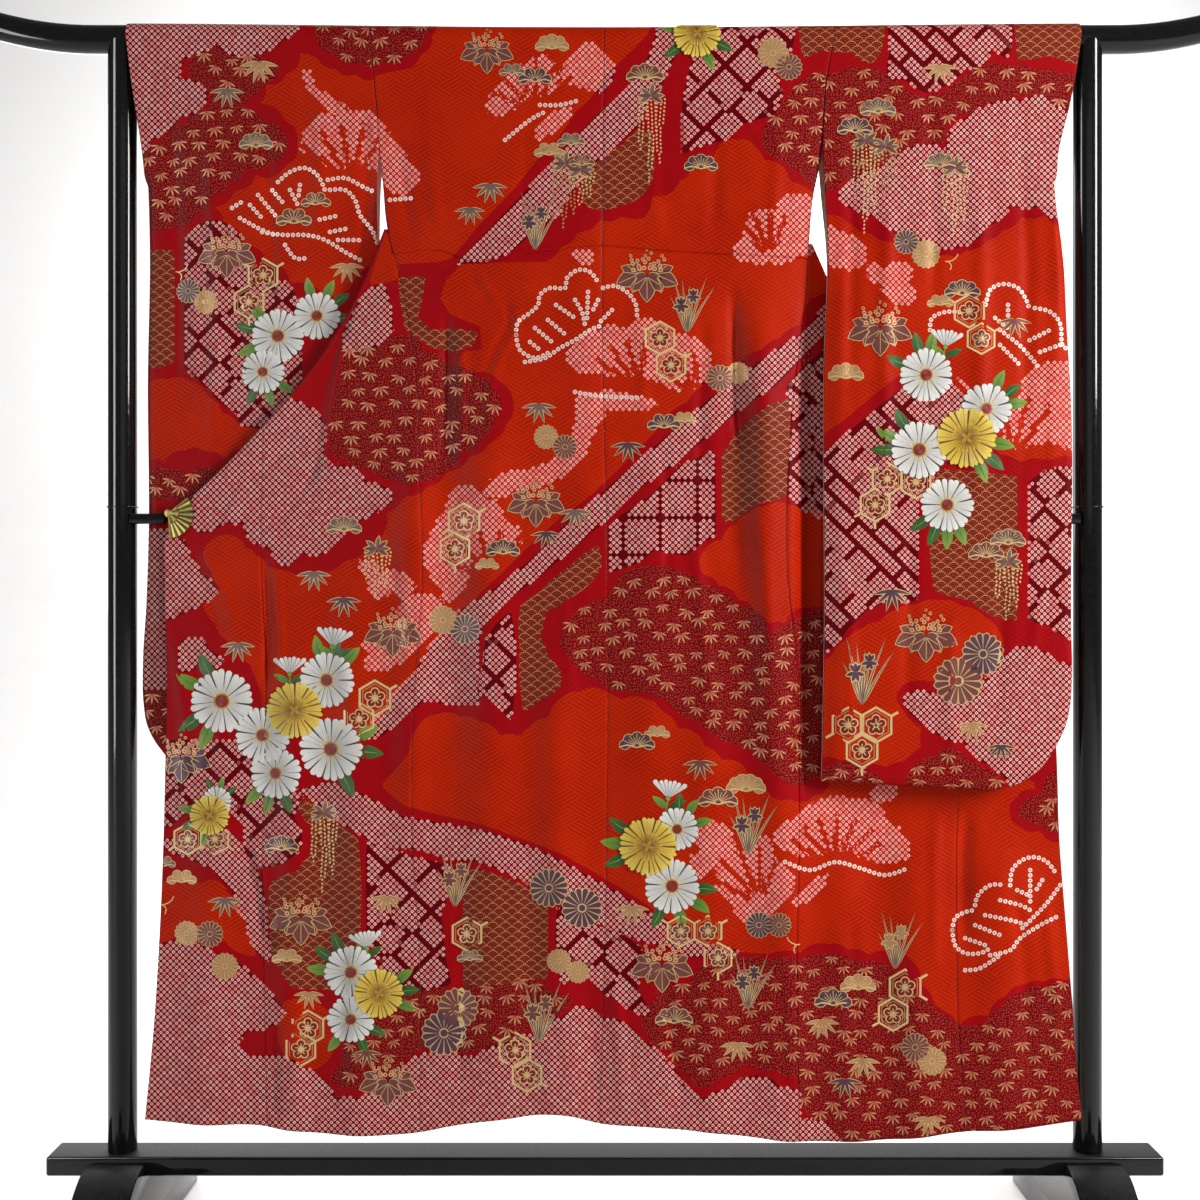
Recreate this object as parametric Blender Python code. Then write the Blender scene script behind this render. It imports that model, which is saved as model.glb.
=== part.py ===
"""Furisode hung open on a black lacquered kimono stand, with its back to the viewer.

Metres. X runs to the viewer's right, Y away from the viewer, Z up from the floor. The origin
is on the floor under the middle of the stand. The garment's back faces -Y. Its two fronts hang
from the far side of the rail, and each is drawn out sideways to a fan clip on its post.
"""

import math

import bmesh
import bpy
import numpy as np
from mathutils import Matrix, Vector

# Cloth: silk with its lining, and the gaps that sewn and touching pieces keep.
WALL = 0.0015
COLLAR_WALL = 0.003
SEAM_GAP = 0.0003
DRAPE_GAP = 0.0006

# Stand.
RAIL_RADIUS = 0.0195
RAIL_HEIGHT = 1.707
RAIL_SAG = 0.005
RAIL_HALF_LENGTH = 0.900
RAIL_RISE_START = 0.720
POST_X = 0.682
POST_RADIUS = 0.020
BEAM_LENGTH = 1.560
BEAM_DEPTH = 0.057
BEAM_LOW = 0.111
BEAM_HIGH = 0.138
FOOT_WIDTH = 0.080
FOOT_HALF_LENGTH = 0.230
ARM_HEIGHT = 1.029
ARM_RADIUS = 0.0075
ARM_TIP_X = 0.6165
ARM_Y = -0.014
RING_HEIGHT = 1.042

# Fan clip.
FAN_RADIUS = 0.034
FAN_PIVOT_X = 0.610
FAN_PIVOT_Z = 1.036
FAN_FIRST_ANGLE = -88.0
FAN_LAST_ANGLE = 40.0
FAN_RIBS = 9
FAN_THICK = 0.0035
JAW_THICK = 0.0018
GRIP_GAP = 0.0005
BOSS_RADIUS = 0.006

# Where the cloth goes over the rail.
DRAPE_RADIUS = RAIL_RADIUS + DRAPE_GAP + WALL / 2
NECK_HALF = 0.0905
FOLD_RADIUS = 0.0045
TURN_GAP = 0.0018

# Seams and edges of the garment, each a table with the columns height, place across.
CENTRE_SEAM = [(1.730, -0.001), (1.540, -0.003), (1.210, -0.003), (1.063, 0.001),
               (0.517, 0.001), (0.180, -0.008)]
ARMHOLE = {
    -1: [(1.730, -0.331), (1.651, -0.324), (1.593, -0.319), (1.545, -0.316)],
    1: [(1.730, 0.326), (1.634, 0.309), (1.590, 0.306), (1.545, 0.304)],
}
BODY_SLIT = {
    -1: [(1.545, -0.3155), (1.500, -0.311), (1.433, -0.304)],
    1: [(1.545, 0.3035), (1.472, 0.290), (1.412, 0.285)],
}
SIDE_SEAM = {
    -1: [(1.433, -0.304), (1.386, -0.292), (1.295, -0.273), (1.217, -0.263), (1.082, -0.258),
         (0.940, -0.255), (0.834, -0.263), (0.770, -0.267), (0.584, -0.269), (0.409, -0.259),
         (0.165, -0.259)],
    1: [(1.412, 0.285), (1.333, 0.280), (1.202, 0.263), (1.123, 0.256), (0.915, 0.256),
        (0.854, 0.266), (0.734, 0.270), (0.567, 0.270), (0.436, 0.267), (0.165, 0.270)],
}
OKUMI_SEAM = {
    -1: [(1.153, -0.479), (0.992, -0.482), (0.775, -0.474), (0.593, -0.479), (0.165, -0.472)],
    1: [(1.135, 0.489), (0.644, 0.496), (0.513, 0.492), (0.351, 0.491), (0.165, 0.505)],
}
OKUMI_EDGE = {
    -1: [(1.059, -0.576), (1.036, -0.5925), (1.009, -0.612), (0.949, -0.616), (0.804, -0.613),
         (0.698, -0.615), (0.608, -0.617), (0.435, -0.624), (0.324, -0.631), (0.185, -0.644)],
    1: [(1.055, 0.576), (1.033, 0.5925), (1.005, 0.611), (0.945, 0.622), (0.800, 0.630),
        (0.690, 0.635), (0.553, 0.639), (0.439, 0.645), (0.351, 0.652), (0.250, 0.659),
        (0.185, 0.666)],
}
# The line where each front turns back on itself, from the side seam down to the clip.
TURN = {
    -1: [(1.433, -0.304), (1.366, -0.331), (1.277, -0.379), (1.153, -0.479), (1.101, -0.530),
         (1.059, -0.576)],
    1: [(1.412, 0.285), (1.345, 0.318), (1.270, 0.370), (1.200, 0.428), (1.135, 0.489),
        (1.095, 0.530), (1.055, 0.576)],
}
# Hem, with the columns place across, height.
HEM = [(-0.643, 0.188), (-0.571, 0.182), (-0.478, 0.180), (-0.420, 0.172), (-0.349, 0.168),
       (-0.260, 0.172), (-0.216, 0.181), (-0.137, 0.193), (-0.056, 0.199), (-0.008, 0.186),
       (0.064, 0.182), (0.184, 0.171), (0.264, 0.162), (0.345, 0.158), (0.402, 0.162),
       (0.503, 0.174), (0.603, 0.181), (0.667, 0.190)]

# Sleeves: the edge at the body, and the cuff edge with the rounded lower corner.
SLEEVE_INNER = {
    -1: [(1.730, -0.331), (1.651, -0.324), (1.593, -0.319), (1.545, -0.316),
         (1.509, -0.319), (1.400, -0.321), (0.650, -0.322)],
    1: [(1.730, 0.326), (1.634, 0.309), (1.590, 0.306), (1.545, 0.304), (1.504, 0.305),
        (1.373, 0.308), (1.278, 0.304), (0.854, 0.303), (0.650, 0.299)],
}
SLEEVE_OUTER = {
    -1: [(1.730, -0.674), (1.640, -0.663), (1.532, -0.647), (1.407, -0.645), (1.230, -0.648),
         (1.003, -0.647), (0.912, -0.650), (0.822, -0.655), (0.768, -0.654), (0.735, -0.648),
         (0.705, -0.631), (0.675, -0.600), (0.658, -0.565), (0.650, -0.530)],
    1: [(1.730, 0.670), (1.659, 0.660), (1.606, 0.650), (1.531, 0.632), (1.479, 0.630),
        (1.403, 0.634), (1.288, 0.639), (1.207, 0.644), (0.878, 0.645), (0.806, 0.646),
        (0.772, 0.644), (0.740, 0.637), (0.705, 0.619), (0.675, 0.594), (0.658, 0.563),
        (0.650, 0.530)],
}
SLEEVE_BOTTOM = {-1: (0.662, 0.650), 1: (0.664, 0.650)}
# Depth of the near and the far half of each sleeve: where the half leaves the rail's own depth,
# where it has arrived, and the depth that it keeps from there.
SLEEVE_NEAR = {-1: (1.560, 1.370, -0.0020), 1: (1.600, 1.340, -0.0500)}
SLEEVE_FAR = {-1: (1.560, 1.370, 0.0145), 1: (1.560, 1.355, -0.0340)}
CUFF_OPENING_LOW = 1.497
SEWN_WIDTH = 0.012

# Depth of the hanging cloth across the garment, as the columns place across, y.
HANG_DEPTH = [(-0.700, -0.0200), (-0.530, -0.0200), (-0.420, -0.0205), (-0.330, -0.0225),
              (-0.270, -0.0250), (-0.150, -0.0290), (0.000, -0.0290), (0.150, -0.0310),
              (0.255, -0.0310), (0.285, -0.0250), (0.330, -0.0150), (0.450, -0.0120),
              (0.700, -0.0120)]
# The right okumi comes forward over the post lower down.
POST_CLEAR_FROM, POST_CLEAR_TO, POST_CLEAR_Y = 0.620, 0.420, -0.0150
TUCK_HEIGHT = 1.390
TUCK_STEP = 0.0015
# Heights of the rows of cells down to the tuck, which pieces sewn together share.
ROW_HEIGHTS = {
    -1: [1.650, 1.595, 1.545, 1.490, 1.433, TUCK_HEIGHT + 0.002, TUCK_HEIGHT - 0.0015],
    1: [1.650, 1.595, 1.545, 1.480, 1.412, TUCK_HEIGHT + 0.002, TUCK_HEIGHT - 0.0015],
}
ROWS_TO_HEM = 20
# Main folds, with the columns x and z at the top, x and z at the bottom, half width and
# height towards the viewer.
FOLDS = [
    (0.212, 1.375, 0.238, 0.640, 0.026, 0.013),
    (0.178, 1.385, 0.186, 0.960, 0.022, -0.006),
    (-0.222, 1.330, -0.215, 0.700, 0.030, -0.006),
    (-0.262, 1.360, -0.275, 0.560, 0.024, 0.007),
    (-0.165, 1.360, -0.150, 0.168, 0.035, 0.007),
    (-0.070, 0.980, -0.062, 0.150, 0.030, 0.010),
    (-0.030, 1.600, -0.030, 0.800, 0.030, 0.003),
    (0.060, 1.300, 0.070, 0.150, 0.040, 0.007),
    (0.140, 0.900, 0.150, 0.150, 0.030, 0.008),
    (0.250, 0.700, 0.255, 0.150, 0.028, 0.009),
    (0.330, 0.640, 0.350, 0.140, 0.040, 0.014),
    (0.430, 0.640, 0.435, 0.140, 0.035, 0.010),
    (0.550, 0.640, 0.555, 0.140, 0.040, 0.009),
    (-0.430, 0.960, -0.445, 0.140, 0.028, 0.010),
    (-0.350, 0.980, -0.345, 0.140, 0.034, 0.011),
    (-0.545, 0.900, -0.560, 0.140, 0.035, 0.007),
]
# The pleat that lies over the turned front beside the left side seam: its edge, as the
# columns height, place across, and how far it stands over the cloth beside it.
PLEAT_EDGE = [(1.366, -0.331), (1.262, -0.371), (1.205, -0.384), (1.122, -0.395),
              (0.988, -0.420)]
PLEAT_STEP = 0.005
PLEAT_TOP, PLEAT_LOW = 1.350, 1.000

# Collar, from its lower end up to the corner of the neck, with the columns outer x and z, inner x
# and z, y on the left side, y on the right side.
COLLAR = [
    (0.548, 1.054, 0.521, 1.006, -0.0115, -0.0030),
    (0.500, 1.086, 0.468, 1.041, -0.0112, -0.0025),
    (0.420, 1.150, 0.381, 1.111, -0.0100, -0.0015),
    (0.330, 1.245, 0.286, 1.212, -0.0068, 0.0005),
    (0.250, 1.352, 0.202, 1.325, 0.0030, 0.0060),
    (0.182, 1.475, 0.130, 1.456, 0.0110, 0.0120),
    (0.127, 1.600, 0.074, 1.587, 0.0165, 0.0170),
    (0.0905, 1.699, 0.042, 1.652, 0.0209, 0.0209),
]
COLLAR_NECK_LOW = 1.646
# The hidden stretch of a front forks here into its armhole edge above and its turned edge below,
# and its rows of cells, from 0 at the rail to 1 at the clip, are the collar's too.
FORK = 0.42
FRONT_ROWS = [FORK * step / 6 for step in range(7)]
FRONT_ROWS += [FORK + (1 - FORK) * step / 9 for step in range(1, 10)]

# Colours, roughness, metallic.
SILK_RED = ((0.45, 0.030, 0.014, 1.0), 0.55, 0.0)
SILK_DARK = ((0.30, 0.015, 0.012, 1.0), 0.55, 0.0)
LACQUER = ((0.006, 0.006, 0.007, 1.0), 0.12, 0.0)
BRASS = ((0.32, 0.24, 0.09, 1.0), 0.42, 1.0)


def smooth(t):
    """A step from 0 to 1 with level ends."""
    t = np.clip(t, 0.0, 1.0)
    return t * t * (3 - 2 * t)


def blend(a, b, t):
    return a + (b - a) * t


def curve(rows, at):
    """A smooth line through the rows (key, value), read at the keys given."""
    rows = sorted(rows)
    keys = np.array([row[0] for row in rows])
    values = np.array([row[1] for row in rows])
    slopes = np.gradient(values, keys)
    at = np.clip(at, keys[0], keys[-1])
    cell = np.clip(np.searchsorted(keys, at) - 1, 0, len(keys) - 2)
    span = keys[cell + 1] - keys[cell]
    t = (at - keys[cell]) / span
    return ((1 + 2 * t) * (1 - t) ** 2 * values[cell] + t * (1 - t) ** 2 * span * slopes[cell]
            + t * t * (3 - 2 * t) * values[cell + 1] - t * t * (1 - t) * span * slopes[cell + 1])


def rail_z(x):
    """Height of the rail's middle line: a slight sag between the posts, and rising ends."""
    inside = np.clip(1 - (x / POST_X) ** 2, 0.0, 1.0)
    rise = np.clip(np.abs(x) - RAIL_RISE_START, 0.0, 1.0) ** 2
    return RAIL_HEIGHT - RAIL_SAG * inside ** 2 + rise


def fold_height(x, z):
    """How far the main folds stand towards the viewer."""
    height = np.zeros_like(x)
    for x_top, z_top, x_low, z_low, half_width, rise in FOLDS:
        down = (z_top - z) / (z_top - z_low)
        offset = (x - blend(x_top, x_low, np.clip(down, 0, 1))) / half_width
        ends = smooth(down / 0.3) * smooth((1.15 - down) / 0.3)
        height += rise * ends * np.exp(-offset * offset)
    edge = curve(PLEAT_EDGE, z)
    lasts = smooth((PLEAT_TOP - z) / 0.05) * smooth((z - PLEAT_LOW) / 0.14)
    beside = smooth((x - edge + 0.006) / 0.012) * smooth((-0.27 - x) / 0.05)
    return height + PLEAT_STEP * lasts * beside


def hang_depth(x, z):
    """y of the middle of the cloth that hangs on the viewer's side."""
    base = curve(HANG_DEPTH, x)
    clear = smooth((POST_CLEAR_FROM - z) / (POST_CLEAR_FROM - POST_CLEAR_TO))
    base = base + POST_CLEAR_Y * clear * smooth((x - 0.30) / 0.2)
    tucked = TUCK_STEP * (z > TUCK_HEIGHT) * smooth((0.42 - np.abs(x)) / 0.05)
    fall = smooth((rail_z(x) - z) / 0.30)
    return blend(-DRAPE_RADIUS, base, fall) - fall * (fold_height(x, z) + tucked)


def over_rail(x, turn, side, wall=WALL):
    """A point of cloth on the rail: turn is 0 on top, 1 at the viewer's side, -1 behind."""
    radius = DRAPE_RADIUS + side * wall / 2
    angle = turn * math.pi / 2
    return np.stack([x, -radius * np.sin(angle), rail_z(x) + radius * np.cos(angle)], axis=-1)


def material(name, finish):
    colour, roughness, metallic = finish
    made = bpy.data.materials.new(name)
    made.use_nodes = True
    shader = made.node_tree.nodes["Principled BSDF"]
    shader.inputs["Base Color"].default_value = colour
    shader.inputs["Roughness"].default_value = roughness
    shader.inputs["Metallic"].default_value = metallic
    return made


def add(name, bm, finish, round_angle=40):
    """Make an object of the finished bmesh."""
    if bm.calc_volume(signed=True) < 0:
        bmesh.ops.reverse_faces(bm, faces=bm.faces[:])
    mesh = bpy.data.meshes.new(name)
    bm.to_mesh(mesh)
    bm.free()
    mesh.shade_smooth()
    mesh.set_sharp_from_angle(angle=math.radians(round_angle))
    mesh.materials.append(material(name, finish))
    made = bpy.data.objects.new(name, mesh)
    bpy.context.collection.objects.link(made)
    return made


def cloth(name, across, along, place, finish):
    """A cloth wall: a flat grid is made one cell thick and bent, so that the corner in column
    u and row v goes to place(u, v, side), where side is -1 inside and 1 outside."""
    bm = bmesh.new()
    bmesh.ops.create_grid(bm, x_segments=len(across) - 1, y_segments=len(along) - 1, size=0.5)
    bmesh.ops.triangulate(bm, faces=bm.faces[:], quad_method="FIXED")
    grown = bmesh.ops.extrude_face_region(bm, geom=bm.faces[:], use_keep_orig=True)
    raised = [item for item in grown["geom"] if isinstance(item, bmesh.types.BMVert)]
    bmesh.ops.translate(bm, vec=(0, 0, 1), verts=raised)
    bmesh.ops.recalc_face_normals(bm, faces=bm.faces[:])
    corners = np.array([vert.co for vert in bm.verts])
    column = np.rint((corners[:, 0] + 0.5) * (len(across) - 1)).astype(int)
    row = np.rint((corners[:, 1] + 0.5) * (len(along) - 1)).astype(int)
    points = place(np.array(across)[column], np.array(along)[row], 2 * corners[:, 2] - 1)
    for vert, point in zip(bm.verts, points):
        vert.co = point
    return add(name, bm, finish)


def even(first, last, count):
    """Count steps from first to last, both included."""
    return list(np.linspace(first, last, count + 1))


def down_to(v, top, levels, low):
    """Height of a row: 0 is the top, 1, 2 and so on are the levels, and one more is low."""
    count = len(levels)
    upper = blend(top, levels[0], np.clip(v, 0, 1))
    middle = np.interp(v, np.arange(1, count + 1), levels)
    lower = blend(levels[-1], low, np.clip(v - count, 0, 1))
    return np.where(v < 1, upper, np.where(v < count, middle, lower))


def back_panel(side):
    """One back: over the rail from behind and down to the hem, sewn to its twin at the centre."""
    outer_rows = ARMHOLE[side] + BODY_SLIT[side][1:] + SIDE_SEAM[side][1:]
    levels = ROW_HEIGHTS[side]

    def place(u, v, face):
        top = rail_z(blend(0.0, side * 0.33, u))
        x_hem = blend(-0.008, SIDE_SEAM[side][-1][1], u)
        z = down_to(v - 1, top, levels, curve(HEM, x_hem))
        inner = curve(CENTRE_SEAM, z) + side * SEAM_GAP / 2
        outer = curve(outer_rows, z) - side * SEAM_GAP / 2
        x = blend(inner, outer, u)
        hung = np.stack([x, hang_depth(x, z) - face * WALL / 2, z], axis=-1)
        return np.where((v <= 1)[:, None], over_rail(x, v, face), hung)

    count = len(levels)
    rows = even(-1, 1, 8) + even(1, 1 + count, count)[1:]
    rows += even(1 + count, 2 + count, ROWS_TO_HEM)[1:]
    name = "back_left" if side < 0 else "back_right"
    return cloth(name, even(0, 1, 11), rows, place, SILK_RED)


def turn_points(side, inner_rows, outer_rows, u, z_low, z_high):
    """Heights on the turned line where it crosses the columns of a panel."""
    low = np.full_like(u, z_low)
    high = np.full_like(u, z_high)
    for _ in range(40):
        middle = (low + high) / 2
        panel_x = blend(curve(inner_rows, middle), curve(outer_rows, middle), u)
        inside = side * (curve(TURN[side], middle) - panel_x) > 0
        low = np.where(inside, middle, low)
        high = np.where(inside, high, middle)
    return (low + high) / 2


def lower_panel(name, side, inner_rows, outer_rows, z_low, z_high, columns, outer_gap, finish):
    """The drawn-out stretch of a front or an okumi: from the hem up to the turned line, and
    round it to the back, where the hidden stretch of the front goes on."""

    def place(u, v, face):
        z_turn = turn_points(side, inner_rows, outer_rows, u, z_low, z_high)
        hem_x = blend(inner_rows[-1][1], outer_rows[-1][1], u)
        z = blend(z_turn, curve(HEM, hem_x), np.clip(v, 0, 1))
        inner = curve(inner_rows, z) + side * SEAM_GAP / 2
        outer = curve(outer_rows, z) - side * outer_gap / 2
        x = blend(inner, outer, u)
        y = hang_depth(x, z)
        slope_x = (curve(TURN[side], z_turn - 0.01) - curve(TURN[side], z_turn + 0.01)) / 0.02
        length = np.sqrt(slope_x ** 2 + 1)
        out_x, out_z = side / length, side * slope_x / length
        fade = smooth((z_turn - TURN[side][-1][0]) / 0.10)
        radius = blend(0.0016, FOLD_RADIUS, fade)
        angle = np.clip(-v, 0, 1) * math.pi
        reach = (radius + face * WALL / 2) * np.sin(angle)
        turned_y = y + radius - (radius + face * WALL / 2) * np.cos(angle)
        turned = np.stack([x + out_x * reach, turned_y, z + out_z * reach], axis=-1)
        hung = np.stack([x, y - face * WALL / 2, z], axis=-1)
        return np.where((v < 0)[:, None], turned, hung)

    # The rows meet those of the back along the side seam.
    turn_z = SIDE_SEAM[side][0][0]
    hem_z = float(curve(HEM, np.array([SIDE_SEAM[side][-1][1]]))[0])
    first = ROW_HEIGHTS[side][-1]
    seam_z = even(first, hem_z, ROWS_TO_HEM)
    rows = even(-1, 0, 4) + [float((turn_z - z) / (turn_z - hem_z)) for z in seam_z]
    return cloth(name, columns, rows, place, finish)


def collar_line(side, at, column):
    """x, z and y of the collar's outer (0) or inner (2) edge; at is 0 at its end, 1 at the neck."""
    steps = np.linspace(0, 1, len(COLLAR))
    depth_column = 4 if side < 0 else 5
    x = side * curve([(s, row[column]) for s, row in zip(steps, COLLAR)], at)
    z = curve([(s, row[column + 1]) for s, row in zip(steps, COLLAR)], at)
    y = curve([(s, row[depth_column]) for s, row in zip(steps, COLLAR)], at)
    return x, z, y


def hidden_front(side):
    """The stretch of a front behind: from the rail down and outwards to the turned line."""
    fork_z = TURN[side][0][0]
    turn_low = TURN[side][-1][0] + 0.012

    def place(u, v, face):
        above = np.clip(v / FORK, 0, 1)
        below = np.clip((v - FORK) / (1 - FORK), 0, 1)
        top = rail_z(side * 0.33) - 0.0006
        z_edge = np.where(v < FORK, blend(top, fork_z, above), blend(fork_z, turn_low, below))
        arm_x = curve(ARMHOLE[side] + BODY_SLIT[side][1:], z_edge)
        x_edge = np.where(v < FORK, arm_x, curve(TURN[side], z_edge)) - side * TURN_GAP
        turned_y = hang_depth(x_edge, z_edge) + 2 * FOLD_RADIUS
        y_edge = np.where(v < FORK, blend(DRAPE_RADIUS, turned_y, smooth(above)), turned_y)
        neck_x, neck_z, neck_y = collar_line(side, 1 - v, 0)
        rail_drop = rail_z(blend(side * 0.33, side * NECK_HALF, u)) - 0.0006
        x = blend(x_edge, neck_x + side * SEAM_GAP, u)
        z = np.where(v == 0, rail_drop, blend(z_edge, neck_z + SEAM_GAP, u))
        sway = 0.006 * np.sin(u * math.pi * 3) * smooth(v / 0.3) * (1 - smooth((v - 0.5) / 0.4))
        y = blend(y_edge, neck_y, smooth(u)) + sway * np.sin(u * math.pi)
        return np.stack([x, y + face * WALL / 2, z], axis=-1)

    name = "front_left_inner" if side < 0 else "front_right_inner"
    return cloth(name, even(0, 1, 9), FRONT_ROWS, place, SILK_RED)


def collar():
    """The collar: one strip from clip to clip, round the back of the neck."""
    def place(u, v, face):
        side = np.where(v < 0, -1, 1)
        at = np.clip(2 - np.abs(v), 0, 1)
        points = []
        for column in (0, 2):
            left = collar_line(-1, at, column)
            right = collar_line(1, at, column)
            points.append([np.where(side < 0, a, b) for a, b in zip(left, right)])
        (x_out, z_out, y), (x_in, z_in, _) = points
        neck = np.clip(np.abs(v), 0, 1)
        x_out = np.where(np.abs(v) < 1, v * (NECK_HALF - 0.0004), x_out - side * 0.0002)
        x_in = np.where(np.abs(v) < 1, v * COLLAR[-1][2], x_in)
        z_out = np.where(np.abs(v) <= 1, rail_z(x_out) - 0.0008, z_out)
        z_in = np.where(np.abs(v) < 1, blend(COLLAR_NECK_LOW, COLLAR[-1][3], neck ** 2), z_in)
        y = np.where(np.abs(v) < 1, DRAPE_RADIUS, y)
        return np.stack([blend(x_out, x_in, u), y + face * COLLAR_WALL / 2 + 0.0007,
                         blend(z_out, z_in, u)], axis=-1)

    sides = [1 + row for row in FRONT_ROWS]
    rows = [-row for row in reversed(sides)] + even(-1, 1, 6)[1:-1] + sides
    return cloth("collar", even(0, 1, 2), rows, place, SILK_DARK)


def sleeve(side):
    """One sleeve: a long strip folded over the rail and sewn up the cuff edge and the bottom."""
    levels = ROW_HEIGHTS[side][:3]
    count = len(levels)

    def place(u, v, face):
        top = rail_z(side * blend(0.33, 0.67, u))
        low = blend(SLEEVE_BOTTOM[side][0], SLEEVE_BOTTOM[side][1], u)
        z = down_to(np.abs(v) - 1, top, levels, low)
        inner = curve(SLEEVE_INNER[side], z) + side * SEAM_GAP
        outer = curve(SLEEVE_OUTER[side], z)
        x = blend(inner, outer, u)
        sewn_z = smooth((z - (rail_z(x) - 0.19)) / 0.04)
        near = blend(hang_depth(inner, z), -DRAPE_RADIUS, smooth(u / 0.6))
        start, end, depth = SLEEVE_NEAR[side]
        near = blend(near, depth, smooth((start - z) / (start - end)))
        start, end, depth = SLEEVE_FAR[side]
        far_top = blend(DRAPE_RADIUS - 0.004 * (1 - sewn_z), DRAPE_RADIUS, u)
        far = blend(far_top, depth, smooth((start - z) / (start - end)))
        middle, half = (near + far) / 2, (far - near) / 2
        from_edge = np.abs(outer - x) / SEWN_WIDTH
        cuff = smooth((z - CUFF_OPENING_LOW) / 0.02)
        from_edge = blend(from_edge, 1.0, cuff)
        from_bottom = (z - low) / SEWN_WIDTH
        opened = np.clip(np.minimum(from_edge, from_bottom), 0, 1)
        shut = (WALL + SEAM_GAP) / 2
        half = blend(shut, half, np.sqrt(1 - (1 - opened) ** 2))
        y = middle + np.sign(v) * half + np.sign(v) * face * WALL / 2
        hung = np.stack([x, y, z], axis=-1)
        return np.where((np.abs(v) <= 1)[:, None], over_rail(x, -v, face), hung)

    last = 2 + count
    half_rows = even(1, 1 + count, count) + even(1 + count, last - 0.09, 13)[1:]
    half_rows += [last - 0.04, last - 0.014, last]
    rows = [-row for row in reversed(half_rows)] + even(-1, 1, 8)[1:-1] + half_rows
    columns = [0, 0.14, 0.28, 0.42, 0.56, 0.70, 0.83, 0.92, 0.966, 1.0]
    name = "sleeve_left" if side < 0 else "sleeve_right"
    return cloth(name, columns, rows, place, SILK_RED)


def ring_tube(name, stations, sides, finish):
    """A round bar through stations (x, y, z, radius), each ring grown from the one before."""
    bm = bmesh.new()
    x, y, z, size = stations[0]
    ring = bmesh.ops.create_circle(bm, cap_ends=True, segments=sides, radius=size)["verts"]
    for vert in ring:
        vert.co = (x, y + vert.co.x, z + vert.co.y)
    edges = bm.edges[:]
    for x, y, z, radius in stations[1:]:
        middle = sum((vert.co for vert in ring), Vector()) / sides
        grown = bmesh.ops.extrude_edge_only(bm, edges=edges)["geom"]
        ring = [item for item in grown if isinstance(item, bmesh.types.BMVert)]
        edges = [item for item in grown if isinstance(item, bmesh.types.BMEdge)
                 and all(vert in ring for vert in item.verts)]
        for vert in ring:
            vert.co = Vector((x, y, z)) + (vert.co - middle) * radius / size
        size = radius
    bmesh.ops.contextual_create(bm, geom=edges)
    bmesh.ops.recalc_face_normals(bm, faces=bm.faces[:])
    return add(name, bm, finish)


def rail():
    """The lacquered rail: round, with ends that sweep up, and rounded tips."""
    places = even(-RAIL_HALF_LENGTH + 0.006, RAIL_HALF_LENGTH - 0.006, 24)
    stations = [(x, 0.0, float(rail_z(x)), RAIL_RADIUS) for x in places]
    for end, slot in ((-1, 0), (1, len(stations))):
        x = end * RAIL_HALF_LENGTH
        stations.insert(slot, (x, 0.0, float(rail_z(x)), RAIL_RADIUS - 0.005))
    return ring_tube("rail", stations, 20, LACQUER)


def cylinder(radius, low, high, sides):
    """An upright cylinder on the Z axis, as a bmesh."""
    bm = bmesh.new()
    bmesh.ops.create_cone(bm, cap_ends=True, segments=sides, radius1=radius, radius2=radius,
                          depth=high - low)
    bmesh.ops.translate(bm, vec=(0, 0, (low + high) / 2), verts=bm.verts[:])
    return bm


def cutter(name, bm):
    """A shape that only cuts others."""
    made = add(name, bm, LACQUER)
    made.hide_render = True
    made.display_type = "WIRE"
    return made


def cut(target, tool):
    change = target.modifiers.new("cut by " + tool.name, "BOOLEAN")
    change.operation = "DIFFERENCE"
    change.object = tool


def post(side):
    """A round post, hollowed at the top so that the rail lies in it."""
    bm = cylinder(POST_RADIUS, BEAM_HIGH + SEAM_GAP, RAIL_HEIGHT + 0.001, 24)
    bmesh.ops.translate(bm, vec=(side * POST_X, 0, 0), verts=bm.verts[:])
    label = "left" if side < 0 else "right"
    made = add("post_" + label, bm, LACQUER)
    bm = cylinder(RAIL_RADIUS + 0.0004, -0.04, 0.04, 40)
    bmesh.ops.rotate(bm, verts=bm.verts[:], matrix=Matrix.Rotation(math.radians(90), 3, "Y"))
    bmesh.ops.translate(bm, vec=(side * POST_X, 0, RAIL_HEIGHT), verts=bm.verts[:])
    cut(made, cutter("saddle_" + label, bm))
    return made


def arm(side):
    """A short arm whose inner end is hollowed to lie against the post."""
    label = "left" if side < 0 else "right"
    stations = [(side * x, ARM_Y, ARM_HEIGHT, radius) for x, radius in
                ((0.672, ARM_RADIUS), (ARM_TIP_X + 0.0015, ARM_RADIUS),
                 (ARM_TIP_X, ARM_RADIUS - 0.0015))]
    made = ring_tube("arm_" + label, stations, 16, LACQUER)
    bm = cylinder(POST_RADIUS + 0.0004, ARM_HEIGHT - 0.03, ARM_HEIGHT + 0.03, 40)
    bmesh.ops.translate(bm, vec=(side * POST_X, 0, 0), verts=bm.verts[:])
    cut(made, cutter("post_room_" + label, bm))
    return made


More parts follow.
